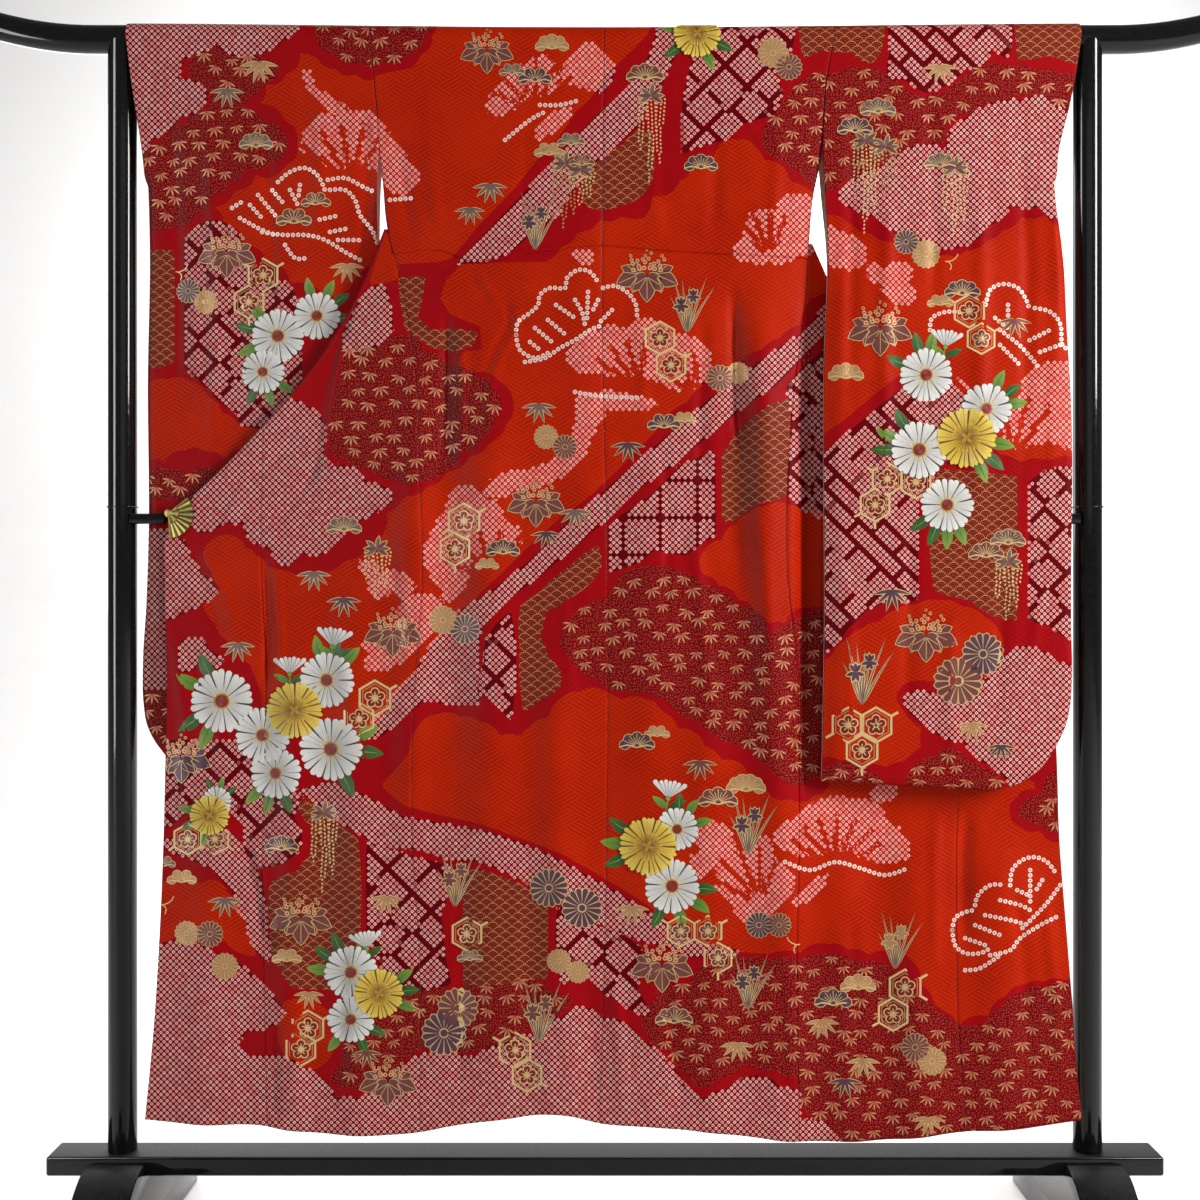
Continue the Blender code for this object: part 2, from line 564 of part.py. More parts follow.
def post_ring(side):
    """A thin cord ring tied round the post just over the arm."""
    bm = bmesh.new()
    outer = POST_RADIUS + 0.0023
    profile = bmesh.ops.create_circle(bm, segments=8, radius=0.0009)["verts"]
    for vert in profile:
        vert.co = (outer - 0.0009 + vert.co.x, 0, RING_HEIGHT + 0.004 + vert.co.y)
    bmesh.ops.spin(bm, geom=bm.verts[:] + bm.edges[:], cent=(0, 0, 0), axis=(0, 0, 1),
                   angle=2 * math.pi, steps=24, use_merge=True)
    bmesh.ops.remove_doubles(bm, verts=bm.verts[:], dist=0.00001)
    bmesh.ops.recalc_face_normals(bm, faces=bm.faces[:])
    bmesh.ops.translate(bm, vec=(side * POST_X, 0, 0), verts=bm.verts[:])
    return add("post_ring_left" if side < 0 else "post_ring_right", bm, LACQUER)


def extruded(name, outline, thickness, axis, bevel, finish):
    """A board: an outline in the plane across the axis, extruded along it and eased."""
    bm = bmesh.new()
    low = -thickness / 2
    if axis == "X":
        corners = [bm.verts.new((low, a, b)) for a, b in outline]
        step = (thickness, 0, 0)
    else:
        corners = [bm.verts.new((a, low, b)) for a, b in outline]
        step = (0, thickness, 0)
    face = bm.faces.new(corners)
    grown = bmesh.ops.extrude_face_region(bm, geom=[face], use_keep_orig=True)
    raised = [item for item in grown["geom"] if isinstance(item, bmesh.types.BMVert)]
    bmesh.ops.translate(bm, vec=step, verts=raised)
    bmesh.ops.recalc_face_normals(bm, faces=bm.faces[:])
    made = add(name, bm, finish)
    if bevel:
        ease = made.modifiers.new("eased edges", "BEVEL")
        ease.width = bevel
        ease.segments = 2
        ease.limit_method = "ANGLE"
        ease.angle_limit = math.radians(50)
    return made


def beam():
    """The low beam that joins the feet."""
    half, low, high = BEAM_LENGTH / 2, BEAM_LOW, BEAM_HIGH
    outline = [(-half, low), (half, low), (half, high), (-half, high)]
    return extruded("base_beam", outline, BEAM_DEPTH, "Y", 0.003, LACQUER)


def foot_outline():
    """Side view of a foot: a hump notched for the beam, hollow toes and a low arch."""
    notch = BEAM_DEPTH / 2 + 0.0004
    top = [(notch, BEAM_LOW - SEAM_GAP), (notch, 0.128), (0.045, 0.126)]
    slope = [(0.045 + 0.135 * t, 0.126 - 0.080 * smooth(t) - 0.004 * math.sin(math.pi * t))
             for t in even(0, 1, 7)[1:]]
    toe = [(0.205, 0.040), (0.222, 0.026), (FOOT_HALF_LENGTH, 0.012),
           (FOOT_HALF_LENGTH, 0.0), (0.150, 0.0)]
    arch = [(0.150 - 0.150 * t, 0.046 * math.sin(math.pi / 2 * t)) for t in even(0, 1, 5)[1:-1]]
    half = [(float(y), float(z)) for y, z in top + slope + toe + arch]
    return half + [(0.0, 0.046)] + [(-y, z) for y, z in reversed(half)]


def foot(side):
    """A foot board, its two toes flat on the floor."""
    name = "foot_left" if side < 0 else "foot_right"
    made = extruded(name, foot_outline(), FOOT_WIDTH, "X", 0, LACQUER)
    for vert in made.data.vertices:
        vert.co.x += side * POST_X
    return made


def fan_clip(side):
    """A brass clip like an opened folding fan: ribbed front jaw, plain back jaw, pivot between."""
    label = "left" if side < 0 else "right"
    y_cloth = float(hang_depth(np.array([side * 0.59]), np.array([1.03]))[0])
    front = y_cloth - WALL / 2 - GRIP_GAP
    back = y_cloth + WALL / 2 + GRIP_GAP
    bm = bmesh.new()

    def jaw(reach, near, far, ribs):
        angles = even(math.radians(FAN_FIRST_ANGLE), math.radians(FAN_LAST_ANGLE), ribs * 2)
        rim = [(-side * reach * math.cos(a), reach * math.sin(a)) for a in angles]
        heel = [(side * 0.004, 0.004), (side * 0.004, -0.004)]
        corners = [bm.verts.new((x, near, z)) for x, z in rim + heel]
        face = bm.faces.new(corners)
        grown = bmesh.ops.extrude_face_region(bm, geom=[face], use_keep_orig=True)
        raised = [item for item in grown["geom"] if isinstance(item, bmesh.types.BMVert)]
        bmesh.ops.translate(bm, vec=(0, far - near, 0), verts=raised)
        return corners

    corners = jaw(FAN_RADIUS, front - FAN_THICK, front, FAN_RIBS)
    for index, vert in enumerate(corners[:-2]):
        vert.co.y += 0.0012 * (index % 2)
    jaw(FAN_RADIUS * 0.8, back, back + JAW_THICK, 4)
    bmesh.ops.recalc_face_normals(bm, faces=bm.faces[:])
    bmesh.ops.translate(bm, vec=(side * FAN_PIVOT_X, 0, FAN_PIVOT_Z), verts=bm.verts[:])
    made = add("fan_clip_" + label, bm, BRASS)
    boss = cylinder(BOSS_RADIUS, -(back + JAW_THICK), FAN_THICK - front + 0.001, 16)
    bmesh.ops.rotate(boss, verts=boss.verts[:], matrix=Matrix.Rotation(math.radians(90), 3, "X"))
    bmesh.ops.translate(boss, vec=(side * FAN_PIVOT_X, 0, FAN_PIVOT_Z), verts=boss.verts[:])
    pin = cutter("fan_pin_" + label, boss)
    join = made.modifiers.new("pivot", "BOOLEAN")
    join.operation = "UNION"
    join.object = pin
    return made


def clear_scene():
    for old in list(bpy.data.objects):
        bpy.data.objects.remove(old)


def main():
    clear_scene()
    rail()
    beam()
    for side in (-1, 1):
        post(side)
        foot(side)
        arm(side)
        post_ring(side)
        fan_clip(side)
        back_panel(side)
        label = "left" if side < 0 else "right"
        lower_panel("front_" + label, side, SIDE_SEAM[side], OKUMI_SEAM[side],
                    OKUMI_SEAM[side][0][0] - 0.02, SIDE_SEAM[side][0][0], even(0, 1, 8),
                    SEAM_GAP, SILK_RED)
        lower_panel("okumi_" + label, side, OKUMI_SEAM[side], OKUMI_EDGE[side],
                    OKUMI_EDGE[side][0][0], OKUMI_SEAM[side][0][0] + 0.02, even(0, 1, 5),
                    0.0, SILK_RED)
        hidden_front(side)
        sleeve(side)
    collar()


main()
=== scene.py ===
"""Furisode hung open on a lacquered kimono stand: what each piece looks like.

Metres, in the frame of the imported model: X to the viewer's right, Y away, Z up from the floor.
"""

import math

import bmesh
import bpy
import numpy as np
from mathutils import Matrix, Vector
from mathutils.bvhtree import BVHTree


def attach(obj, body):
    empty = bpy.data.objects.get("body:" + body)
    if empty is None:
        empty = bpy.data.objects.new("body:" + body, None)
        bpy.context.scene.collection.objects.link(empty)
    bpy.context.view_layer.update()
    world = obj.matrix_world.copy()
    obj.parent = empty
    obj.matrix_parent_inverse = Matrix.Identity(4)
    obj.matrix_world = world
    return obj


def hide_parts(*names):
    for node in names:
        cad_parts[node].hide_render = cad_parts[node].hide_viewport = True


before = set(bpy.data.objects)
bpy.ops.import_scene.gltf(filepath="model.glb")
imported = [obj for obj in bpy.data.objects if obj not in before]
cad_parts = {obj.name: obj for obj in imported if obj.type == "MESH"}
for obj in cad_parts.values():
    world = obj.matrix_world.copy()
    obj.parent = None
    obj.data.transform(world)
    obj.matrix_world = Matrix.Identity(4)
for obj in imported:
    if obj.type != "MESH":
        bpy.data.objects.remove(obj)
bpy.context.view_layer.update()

# Studio: a camera level with the middle of the garment, 2 m from the rail, before a pale floor
# that sweeps up behind the stand and is lit white there. A tall soft light at the right is the
# main one, and weaker ones in front, at the left and behind open its shadows.
UNIT = 0.001414
FRAME_SIZE = 1200
EYE_DISTANCE = 2.0
EYE_HEIGHT = 0.915
MIDDLE_X, MIDDLE_Y = 605.0, 600.0

camera_data = bpy.data.cameras.new("camera")
camera_data.sensor_width = 36.0
camera_data.lens = camera_data.sensor_width * EYE_DISTANCE / (FRAME_SIZE * UNIT)
camera_data.shift_x = (FRAME_SIZE / 2 - MIDDLE_X) / FRAME_SIZE
camera = bpy.data.objects.new("camera", camera_data)
camera.location = (0.0, -EYE_DISTANCE, EYE_HEIGHT)
camera.rotation_euler = (math.radians(90), 0.0, 0.0)
bpy.context.collection.objects.link(camera)
bpy.context.scene.camera = camera
bpy.context.scene.view_settings.view_transform = "Standard"


def soft_light(name, place, aim, size, watts, colour=(1.0, 1.0, 1.0)):
    """A rectangular light that faces the point it is aimed at."""
    data = bpy.data.lights.new(name, "AREA")
    data.shape = "RECTANGLE"
    data.size, data.size_y = size
    data.energy = watts
    data.color = colour
    light = bpy.data.objects.new(name, data)
    light.location = place
    light.rotation_euler = (Vector(aim) - Vector(place)).to_track_quat("-Z", "Y").to_euler()
    bpy.context.collection.objects.link(light)
    return light


soft_light("key light", (2.6, -1.6, 2.0), (0.0, 0.0, 0.95), (0.6, 1.5), 94, (1.0, 0.97, 0.93))
soft_light("front light", (0.6, -3.4, 1.6), (0.0, 0.0, 0.9), (2.2, 2.0), 6)
soft_light("left light", (-2.4, -1.4, 1.3), (0.0, 0.0, 0.9), (0.3, 2.2), 9)
soft_light("back light", (0.4, 1.4, 2.9), (0.0, 3.0, 0.9), (2.8, 0.8), 168)
# A white strip that shows only where something glossy mirrors it, as the lacquer does.
strip = soft_light("strip light", (-2.2, -1.5, 1.1), (-0.68, 0.0, 1.0), (0.55, 3.0), 60)
strip.visible_diffuse = False
soft_light("far side light", (-1.6, 2.4, 1.6), (0.0, 0.0, 0.9), (1.2, 1.6), 22)

world = bpy.data.worlds.new("white studio")
world.use_nodes = True
world.node_tree.nodes["Background"].inputs["Color"].default_value = (1.0, 1.0, 1.0, 1.0)
world.node_tree.nodes["Background"].inputs["Strength"].default_value = 0.20
bpy.context.scene.world = world


class Num:
    """A number in a material, whose sums become the material's Math nodes."""

    def __init__(self, tree, socket):
        self.tree, self.socket = tree, socket

    @staticmethod
    def node(tree, kind, settings=None, inputs=None, output=0):
        """Any other node: its settings first, then its sockets' values or links. Gives the
        output of that number."""
        made = tree.nodes.new(kind)
        for key, value in (settings or {}).items():
            setattr(made, key, value)
        for key, value in (inputs or {}).items():
            if isinstance(value, Num):
                tree.links.new(value.socket, made.inputs[key])
            else:
                made.inputs[key].default_value = value
        return Num(tree, made.outputs[output])

    def sum(self, operation, *numbers):
        return Num.node(self.tree, "ShaderNodeMath", {"operation": operation},
                        dict(enumerate(numbers)))

    def __add__(self, other):
        return self.sum("ADD", self, other)

    def __radd__(self, other):
        return self.sum("ADD", other, self)

    def __sub__(self, other):
        return self.sum("SUBTRACT", self, other)

    def __rsub__(self, other):
        return self.sum("SUBTRACT", other, self)

    def __mul__(self, other):
        return self.sum("MULTIPLY", self, other)

    def __rmul__(self, other):
        return self.sum("MULTIPLY", other, self)

    def __truediv__(self, other):
        return self.sum("DIVIDE", self, other)

    def __pow__(self, other):
        return self.sum("POWER", self, other)

    def __abs__(self):
        return self.sum("ABSOLUTE", self)

    def floor(self):
        return self.sum("FLOOR", self)

    def fract(self):
        return self.sum("FRACT", self)

    def root(self):
        return self.sum("SQRT", self)

    def most(self, other):
        return self.sum("MAXIMUM", self, other)

    def over(self, edge, width):
        """0 below the edge and 1 above it, with a ramp of that width."""
        return Num.node(self.tree, "ShaderNodeMapRange", {"clamp": True},
                        {0: self, 1: edge - width / 2, 2: edge + width / 2, 3: 0.0, 4: 1.0})


def split(vector):
    """The three numbers of a vector."""
    return [Num.node(vector.tree, "ShaderNodeSeparateXYZ", None, {0: vector}, k) for k in range(3)]


def mix(share, first, second):
    """Colours blended by a share of the second."""
    return Num.node(share.tree, "ShaderNodeMix", {"data_type": "RGBA"},
                    {0: share, 6: first, 7: second}, 2)


def mix_number(share, first, second):
    """Numbers blended by a share of the second."""
    return first + (second - first) * share


def new_material(name, **constants):
    """A material with a Principled shader, its constants set on the shader's own sockets."""
    made = bpy.data.materials.new(name)
    made.use_nodes = True
    shader = made.node_tree.nodes["Principled BSDF"]
    for key, value in constants.items():
        shader.inputs[key.replace("_", " ")].default_value = value
    return made, made.node_tree, shader


def feed(shader, **links):
    """Links numbers and colours that vary over a surface to the shader's sockets."""
    for key, value in links.items():
        shader.id_data.links.new(value.socket, shader.inputs[key.replace("_", " ")])


def bump(height, distance, strength):
    return Num.node(height.tree, "ShaderNodeBump", None,
                    {"Strength": strength, "Distance": distance, "Height": height})


def noise(tree, where, scale, detail=2.0, rough=0.5):
    return Num.node(tree, "ShaderNodeTexNoise", None,
                    {"Vector": where, "Scale": scale, "Detail": detail, "Roughness": rough})


def placed(name, bm, material):
    """Turns a bmesh into an object of the scene."""
    mesh = bpy.data.meshes.new(name)
    bm.to_mesh(mesh)
    bm.free()
    mesh.materials.append(material)
    made = bpy.data.objects.new(name, mesh)
    bpy.context.collection.objects.link(made)
    return made


def finished(name, bm, material, slot, *nodes, smooth_angle=40):
    """Turns a bmesh into a piece that rides on the part and stands for the CAD nodes named."""
    piece = placed(name, bm, material)
    piece.data.shade_smooth()
    if smooth_angle:
        piece.data.set_sharp_from_angle(angle=math.radians(smooth_angle))
    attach(piece, "root")
    if nodes:
        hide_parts(*nodes)
    return piece


SWEEP_START = 2.2
SWEEP_RADIUS = 1.2
floor_paint, tree, shader = new_material("floor paint", Roughness=0.6)
spot = Num.node(tree, "ShaderNodeTexCoord", output=3)
feed(shader, Base_Color=mix(noise(tree, spot, 3.0), (0.76, 0.76, 0.76, 1), (0.8, 0.8, 0.8, 1)))
bm = bmesh.new()
bmesh.ops.create_grid(bm, x_segments=2, y_segments=48, size=7)
for vert in bm.verts:
    # Behind the stand the sheet sweeps up to a back wall.
    turn = min(max((vert.co.y - SWEEP_START) / SWEEP_RADIUS, 0.0), math.pi / 2)
    rise = max(vert.co.y - SWEEP_START - SWEEP_RADIUS * math.pi / 2, 0.0)
    if turn > 0:
        vert.co.y = SWEEP_START + SWEEP_RADIUS * math.sin(turn)
        vert.co.z = SWEEP_RADIUS * (1 - math.cos(turn)) + rise
placed("floor", bm, floor_paint)

# Lacquer on all the stand's wood: black and polished, with the faint waviness of a brushed and
# rubbed coat. Handling and dust have left its upward faces matt.
lacquer, tree, shader = new_material("black lacquer", Specular_IOR_Level=0.36, IOR=1.5)
spot = Num.node(tree, "ShaderNodeTexCoord", output=3)
upward = split(Num.node(tree, "ShaderNodeTexCoord", output=1))[2].over(0.8, 0.2)
waves = noise(tree, spot, 24.0, 3.0)
dust = noise(tree, spot, 160.0, 4.0, 0.7)
feed(shader, Base_Color=mix(dust.over(0.62, 0.2), (0.0035, 0.0035, 0.004, 1),
                            (0.010, 0.010, 0.011, 1)),
     Roughness=0.07 + 0.08 * dust.over(0.55, 0.3) + 0.52 * upward, Normal=bump(waves, 0.00035, 0.5))

# The rail: a round lacquered pole that carries the garment. It sags a little in the middle, and
# its ends sweep up past the posts.
RAIL_RADIUS = 0.0195
RAIL_HEIGHT = 1.707
RAIL_SAG = 0.005
RAIL_HALF_LENGTH = 0.900
RAIL_RISE_START = 0.720
RAIL_END_EDGE = 0.005
POST_X = 0.682


def rail_z(x):
    """Height of the rail's middle line."""
    inside = np.clip(1 - (x / POST_X) ** 2, 0.0, 1.0)
    rise = np.clip(np.abs(x) - RAIL_RISE_START, 0.0, 1.0) ** 2
    return RAIL_HEIGHT - RAIL_SAG * inside ** 2 + rise


def only(kind, items):
    """Those of a mesh's parts that are of one kind."""
    return [item for item in items if isinstance(item, kind)]


def round_bar(name, stations, sides, node):
    """A round lacquered bar drawn out ring by ring through stations (x, y, z, radius)."""
    bm = bmesh.new()
    (*first, radius), *others = stations
    middle = Vector(first)
    for vert in bmesh.ops.create_circle(bm, segments=sides, radius=radius)["verts"]:
        vert.co = middle + Vector((0.0, vert.co.x, vert.co.y))
    edges = start = bm.edges[:]
    for *spot, wide in others:
        drawn = bmesh.ops.extrude_edge_only(bm, edges=edges)["geom"]
        for vert in only(bmesh.types.BMVert, drawn):
            vert.co = Vector(spot) + (vert.co - middle) * (wide / radius)
        edges = [edge for edge in only(bmesh.types.BMEdge, drawn) if len(edge.link_faces) == 1]
        middle, radius = Vector(spot), wide
    for end in (start, edges):
        bmesh.ops.contextual_create(bm, geom=end)
    bmesh.ops.recalc_face_normals(bm, faces=bm.faces[:])
    finished(name, bm, lacquer, "lacquer", node)


middle_end = RAIL_HALF_LENGTH - RAIL_END_EDGE - 0.001
middle = [(float(x), 0.0, float(rail_z(x)), RAIL_RADIUS)
          for x in np.linspace(-middle_end, middle_end, 90)]
tip_z = float(rail_z(np.array(RAIL_HALF_LENGTH)))
right_tip = [(RAIL_HALF_LENGTH - RAIL_END_EDGE * (1 - math.sin(turn)), 0.0, tip_z,
              RAIL_RADIUS - RAIL_END_EDGE * (1 - math.cos(turn)))
             for turn in map(math.radians, (15, 40, 65, 90))]
left_tip = [(-x, y, z, radius) for x, y, z, radius in reversed(right_tip)]
round_bar("rail_lacquered", left_tip + middle + right_tip, 48, "rail")

# The posts: round lacquered poles that stand on the beam, hollowed on top so that the rail lies
# in them.
POST_RADIUS = 0.020
BEAM_LOW, BEAM_HIGH = 0.111, 0.138
JOINT_GAP = 0.0003
SIDES = ((-1, "left"), (1, "right"))


def soften(bm, edges, offset, segments, clamp=False):
    """Rounds edges over."""
    bmesh.ops.bevel(bm, geom=edges, offset=offset, offset_type="OFFSET", segments=segments,
                    profile=0.5, affect="EDGES", material=-1, clamp_overlap=clamp)


for side, label in SIDES:
    bm = bmesh.new()
    low, high = BEAM_HIGH + JOINT_GAP, RAIL_HEIGHT - 0.0005
    bmesh.ops.create_cone(bm, cap_ends=True, segments=48, radius1=POST_RADIUS,
                          radius2=POST_RADIUS, depth=high - low)
    bmesh.ops.translate(bm, vec=(side * POST_X, 0, (low + high) / 2), verts=bm.verts[:])
    for vert in bm.verts:
        if vert.co.z > high - 0.001:
            across = min(abs(vert.co.y), RAIL_RADIUS)
            vert.co.z = RAIL_HEIGHT - math.sqrt((RAIL_RADIUS + 0.0004) ** 2 - across ** 2)
    rim = [edge for edge in bm.edges if all(vert.co.z < low + 0.001 for vert in edge.verts)]
    soften(bm, rim, 0.0012, 2)
    finished("post_lacquered_" + label, bm, lacquer, "lacquer", "post_" + label)

# The base beam: a flat board that joins the feet and carries the posts. It is let into both
# feet, and its edges are eased.
BEAM_LENGTH, BEAM_WIDTH = 1.560, 0.057
bm = bmesh.new()
bmesh.ops.create_cube(bm, size=1.0)
bmesh.ops.scale(bm, vec=(BEAM_LENGTH, BEAM_WIDTH, BEAM_HIGH - BEAM_LOW), verts=bm.verts[:])
bmesh.ops.translate(bm, vec=(0, 0, (BEAM_HIGH + BEAM_LOW) / 2), verts=bm.verts[:])
soften(bm, bm.edges[:], 0.004, 4)
finished("base_beam_lacquered", bm, lacquer, "lacquer", "base_beam")

# The feet: thick boards sawn to a hump that is notched for the beam, with a toe at the front and
# at the back and a hollow between them. The outline is given for one half, from the notch down.
FOOT_WIDTH = 0.080
notch = BEAM_WIDTH / 2 + 0.0004
hump = [(notch, BEAM_LOW - JOINT_GAP), (notch, 0.128), (0.045, 0.126)]
slope = [(0.045 + 0.135 * t, 0.126 - 0.080 * t * t * (3 - 2 * t) - 0.004 * math.sin(math.pi * t))
         for t in np.linspace(0, 1, 17)[1:]]
toe = [(0.205, 0.040), (0.214, 0.034), (0.222, 0.026), (0.230, 0.012), (0.230, 0.0), (0.150, 0.0)]
arch = [(0.150 - 0.150 * t, 0.046 * math.sin(math.pi / 2 * t)) for t in np.linspace(0, 1, 13)[1:-1]]
foot_half = [(float(y), float(z)) for y, z in hump + slope + toe + arch]
foot_outline = foot_half + [(0.0, 0.046)] + [(-y, z) for y, z in reversed(foot_half)]
for side, label in SIDES:
    bm = bmesh.new()
    start = side * POST_X - FOOT_WIDTH / 2
    face = bm.faces.new([bm.verts.new((start, y, z)) for y, z in foot_outline])
    grown = bmesh.ops.extrude_face_region(bm, geom=[face], use_keep_orig=True)
    bmesh.ops.translate(bm, vec=(FOOT_WIDTH, 0, 0), verts=only(bmesh.types.BMVert, grown["geom"]))
    bmesh.ops.recalc_face_normals(bm, faces=bm.faces[:])
    rims = [edge for edge in bm.edges if abs(edge.verts[0].co.x - edge.verts[1].co.x) < 0.001]
    soften(bm, rims, 0.0025, 3, clamp=True)
    finished("foot_lacquered_" + label, bm, lacquer, "lacquer", "foot_" + label)

# The arms: short turned pegs of lacquered wood. Each reaches from its post to the clip that
# holds the front.
ARM_HEIGHT, ARM_RADIUS, ARM_Y = 1.029, 0.0075, -0.014
for side, label in SIDES:
    ends = [(0.6660, ARM_RADIUS), (0.6650, ARM_RADIUS), (0.6200, ARM_RADIUS), (0.6175, 0.0070),
            (0.6168, 0.0060), (0.6165, 0.0048)]
    stations = [(side * x, ARM_Y, ARM_HEIGHT, radius) for x, radius in ends]
    round_bar("arm_lacquered_" + label, stations, 32, "arm_" + label)

# The cloth: figured crepe silk, dyed, painted and stitched on its outer face and lined with plain
# pale silk. Each panel is a thin shell that hangs as its solid does, with the finer creases.
# Its chart is the pattern's own plan, in steps of 1.414 mm, laid on from the front.
WALL = 0.0015
LINING_DEPTH = 0.0011
SEAM_GAP = 0.00001
DRAPE_RADIUS = RAIL_RADIUS + 0.0006 + WALL / 2
CELL = 0.0056
SHOULDER_X = 0.33

# Seams and edges, as the columns height, place across.
CENTRE_SEAM = [(1.730, -0.001), (1.540, -0.003), (1.210, -0.003), (1.063, 0.001),
               (0.517, 0.001), (0.180, -0.008)]
ARMHOLE = {
    -1: [(1.730, -0.331), (1.651, -0.324), (1.593, -0.319), (1.545, -0.316)],
    1: [(1.730, 0.326), (1.634, 0.309), (1.590, 0.306), (1.545, 0.304)],
}
BODY_SLIT = {
    -1: [(1.545, -0.3155), (1.500, -0.311), (1.433, -0.304)],
    1: [(1.545, 0.3035), (1.472, 0.290), (1.412, 0.285)],
}
SIDE_SEAM = {
    -1: [(1.433, -0.304), (1.386, -0.292), (1.295, -0.273), (1.217, -0.263), (1.082, -0.258),
         (0.940, -0.255), (0.834, -0.263), (0.770, -0.267), (0.584, -0.269), (0.409, -0.259),
         (0.165, -0.259)],
    1: [(1.412, 0.285), (1.333, 0.280), (1.202, 0.263), (1.123, 0.256), (0.915, 0.256),
        (0.854, 0.266), (0.734, 0.270), (0.567, 0.270), (0.436, 0.267), (0.165, 0.270)],
}
OKUMI_SEAM = {
    -1: [(1.153, -0.479), (0.992, -0.482), (0.775, -0.474), (0.593, -0.479), (0.165, -0.472)],
    1: [(1.135, 0.489), (0.644, 0.496), (0.513, 0.492), (0.351, 0.491), (0.165, 0.505)],
}
OKUMI_EDGE = {
    -1: [(1.059, -0.576), (1.036, -0.5925), (1.009, -0.612), (0.949, -0.616), (0.804, -0.613),
         (0.698, -0.615), (0.608, -0.617), (0.435, -0.624), (0.324, -0.631), (0.185, -0.644)],
    1: [(1.055, 0.576), (1.033, 0.5925), (1.005, 0.611), (0.945, 0.622), (0.800, 0.630),
        (0.690, 0.635), (0.553, 0.639), (0.439, 0.645), (0.351, 0.652), (0.250, 0.659),
        (0.185, 0.666)],
}
# Where each front turns back on itself, from the side seam down to the clip.
TURN = {
    -1: [(1.433, -0.304), (1.366, -0.331), (1.277, -0.379), (1.153, -0.479), (1.101, -0.530),
         (1.059, -0.576)],
    1: [(1.412, 0.285), (1.345, 0.318), (1.270, 0.370), (1.200, 0.428), (1.135, 0.489),
        (1.095, 0.530), (1.055, 0.576)],
}
# Hem and depth, as the columns place across, height or y.
HEM = [(-0.643, 0.188), (-0.571, 0.182), (-0.478, 0.180), (-0.420, 0.172), (-0.349, 0.168),
       (-0.260, 0.172), (-0.216, 0.181), (-0.137, 0.193), (-0.056, 0.199), (-0.008, 0.186),
       (0.064, 0.182), (0.184, 0.171), (0.264, 0.162), (0.345, 0.158), (0.402, 0.162),
       (0.503, 0.174), (0.603, 0.181), (0.667, 0.190)]
HANG_DEPTH = [(-0.700, -0.0200), (-0.530, -0.0200), (-0.420, -0.0205), (-0.330, -0.0225),
              (-0.270, -0.0250), (-0.150, -0.0290), (0.000, -0.0290), (0.150, -0.0310),
              (0.255, -0.0310), (0.285, -0.0250), (0.330, -0.0150), (0.450, -0.0120),
              (0.700, -0.0120)]
TUCK = [(-0.300, 1.398), (-0.215, 1.398), (-0.195, 1.388), (-0.100, 1.398), (0.000, 1.408),
        (0.080, 1.402), (0.177, 1.396), (0.292, 1.391)]
# Folds that the solids have too: x and z at the top, x and z at the bottom, half width, height.
FOLDS = [
    (0.212, 1.375, 0.238, 0.640, 0.026, 0.013),
    (0.178, 1.385, 0.186, 0.960, 0.022, -0.006),
    (-0.222, 1.330, -0.215, 0.700, 0.030, -0.006),
    (-0.262, 1.360, -0.275, 0.560, 0.024, 0.007),
    (-0.165, 1.360, -0.150, 0.168, 0.035, 0.007),
    (-0.070, 0.980, -0.062, 0.150, 0.030, 0.010),
    (-0.030, 1.600, -0.030, 0.800, 0.030, 0.003),
    (0.060, 1.300, 0.070, 0.150, 0.040, 0.007),
    (0.140, 0.900, 0.150, 0.150, 0.030, 0.008),
    (0.250, 0.700, 0.255, 0.150, 0.028, 0.009),
    (0.330, 0.640, 0.350, 0.140, 0.040, 0.014),
    (0.430, 0.640, 0.435, 0.140, 0.035, 0.010),
    (0.550, 0.640, 0.555, 0.140, 0.040, 0.009),
    (-0.430, 0.960, -0.445, 0.140, 0.028, 0.010),
    (-0.350, 0.980, -0.345, 0.140, 0.034, 0.011),
    (-0.545, 0.900, -0.560, 0.140, 0.035, 0.007),
]
PLEAT_EDGE = [(1.366, -0.331), (1.262, -0.371), (1.205, -0.384), (1.122, -0.395),
              (0.988, -0.420)]
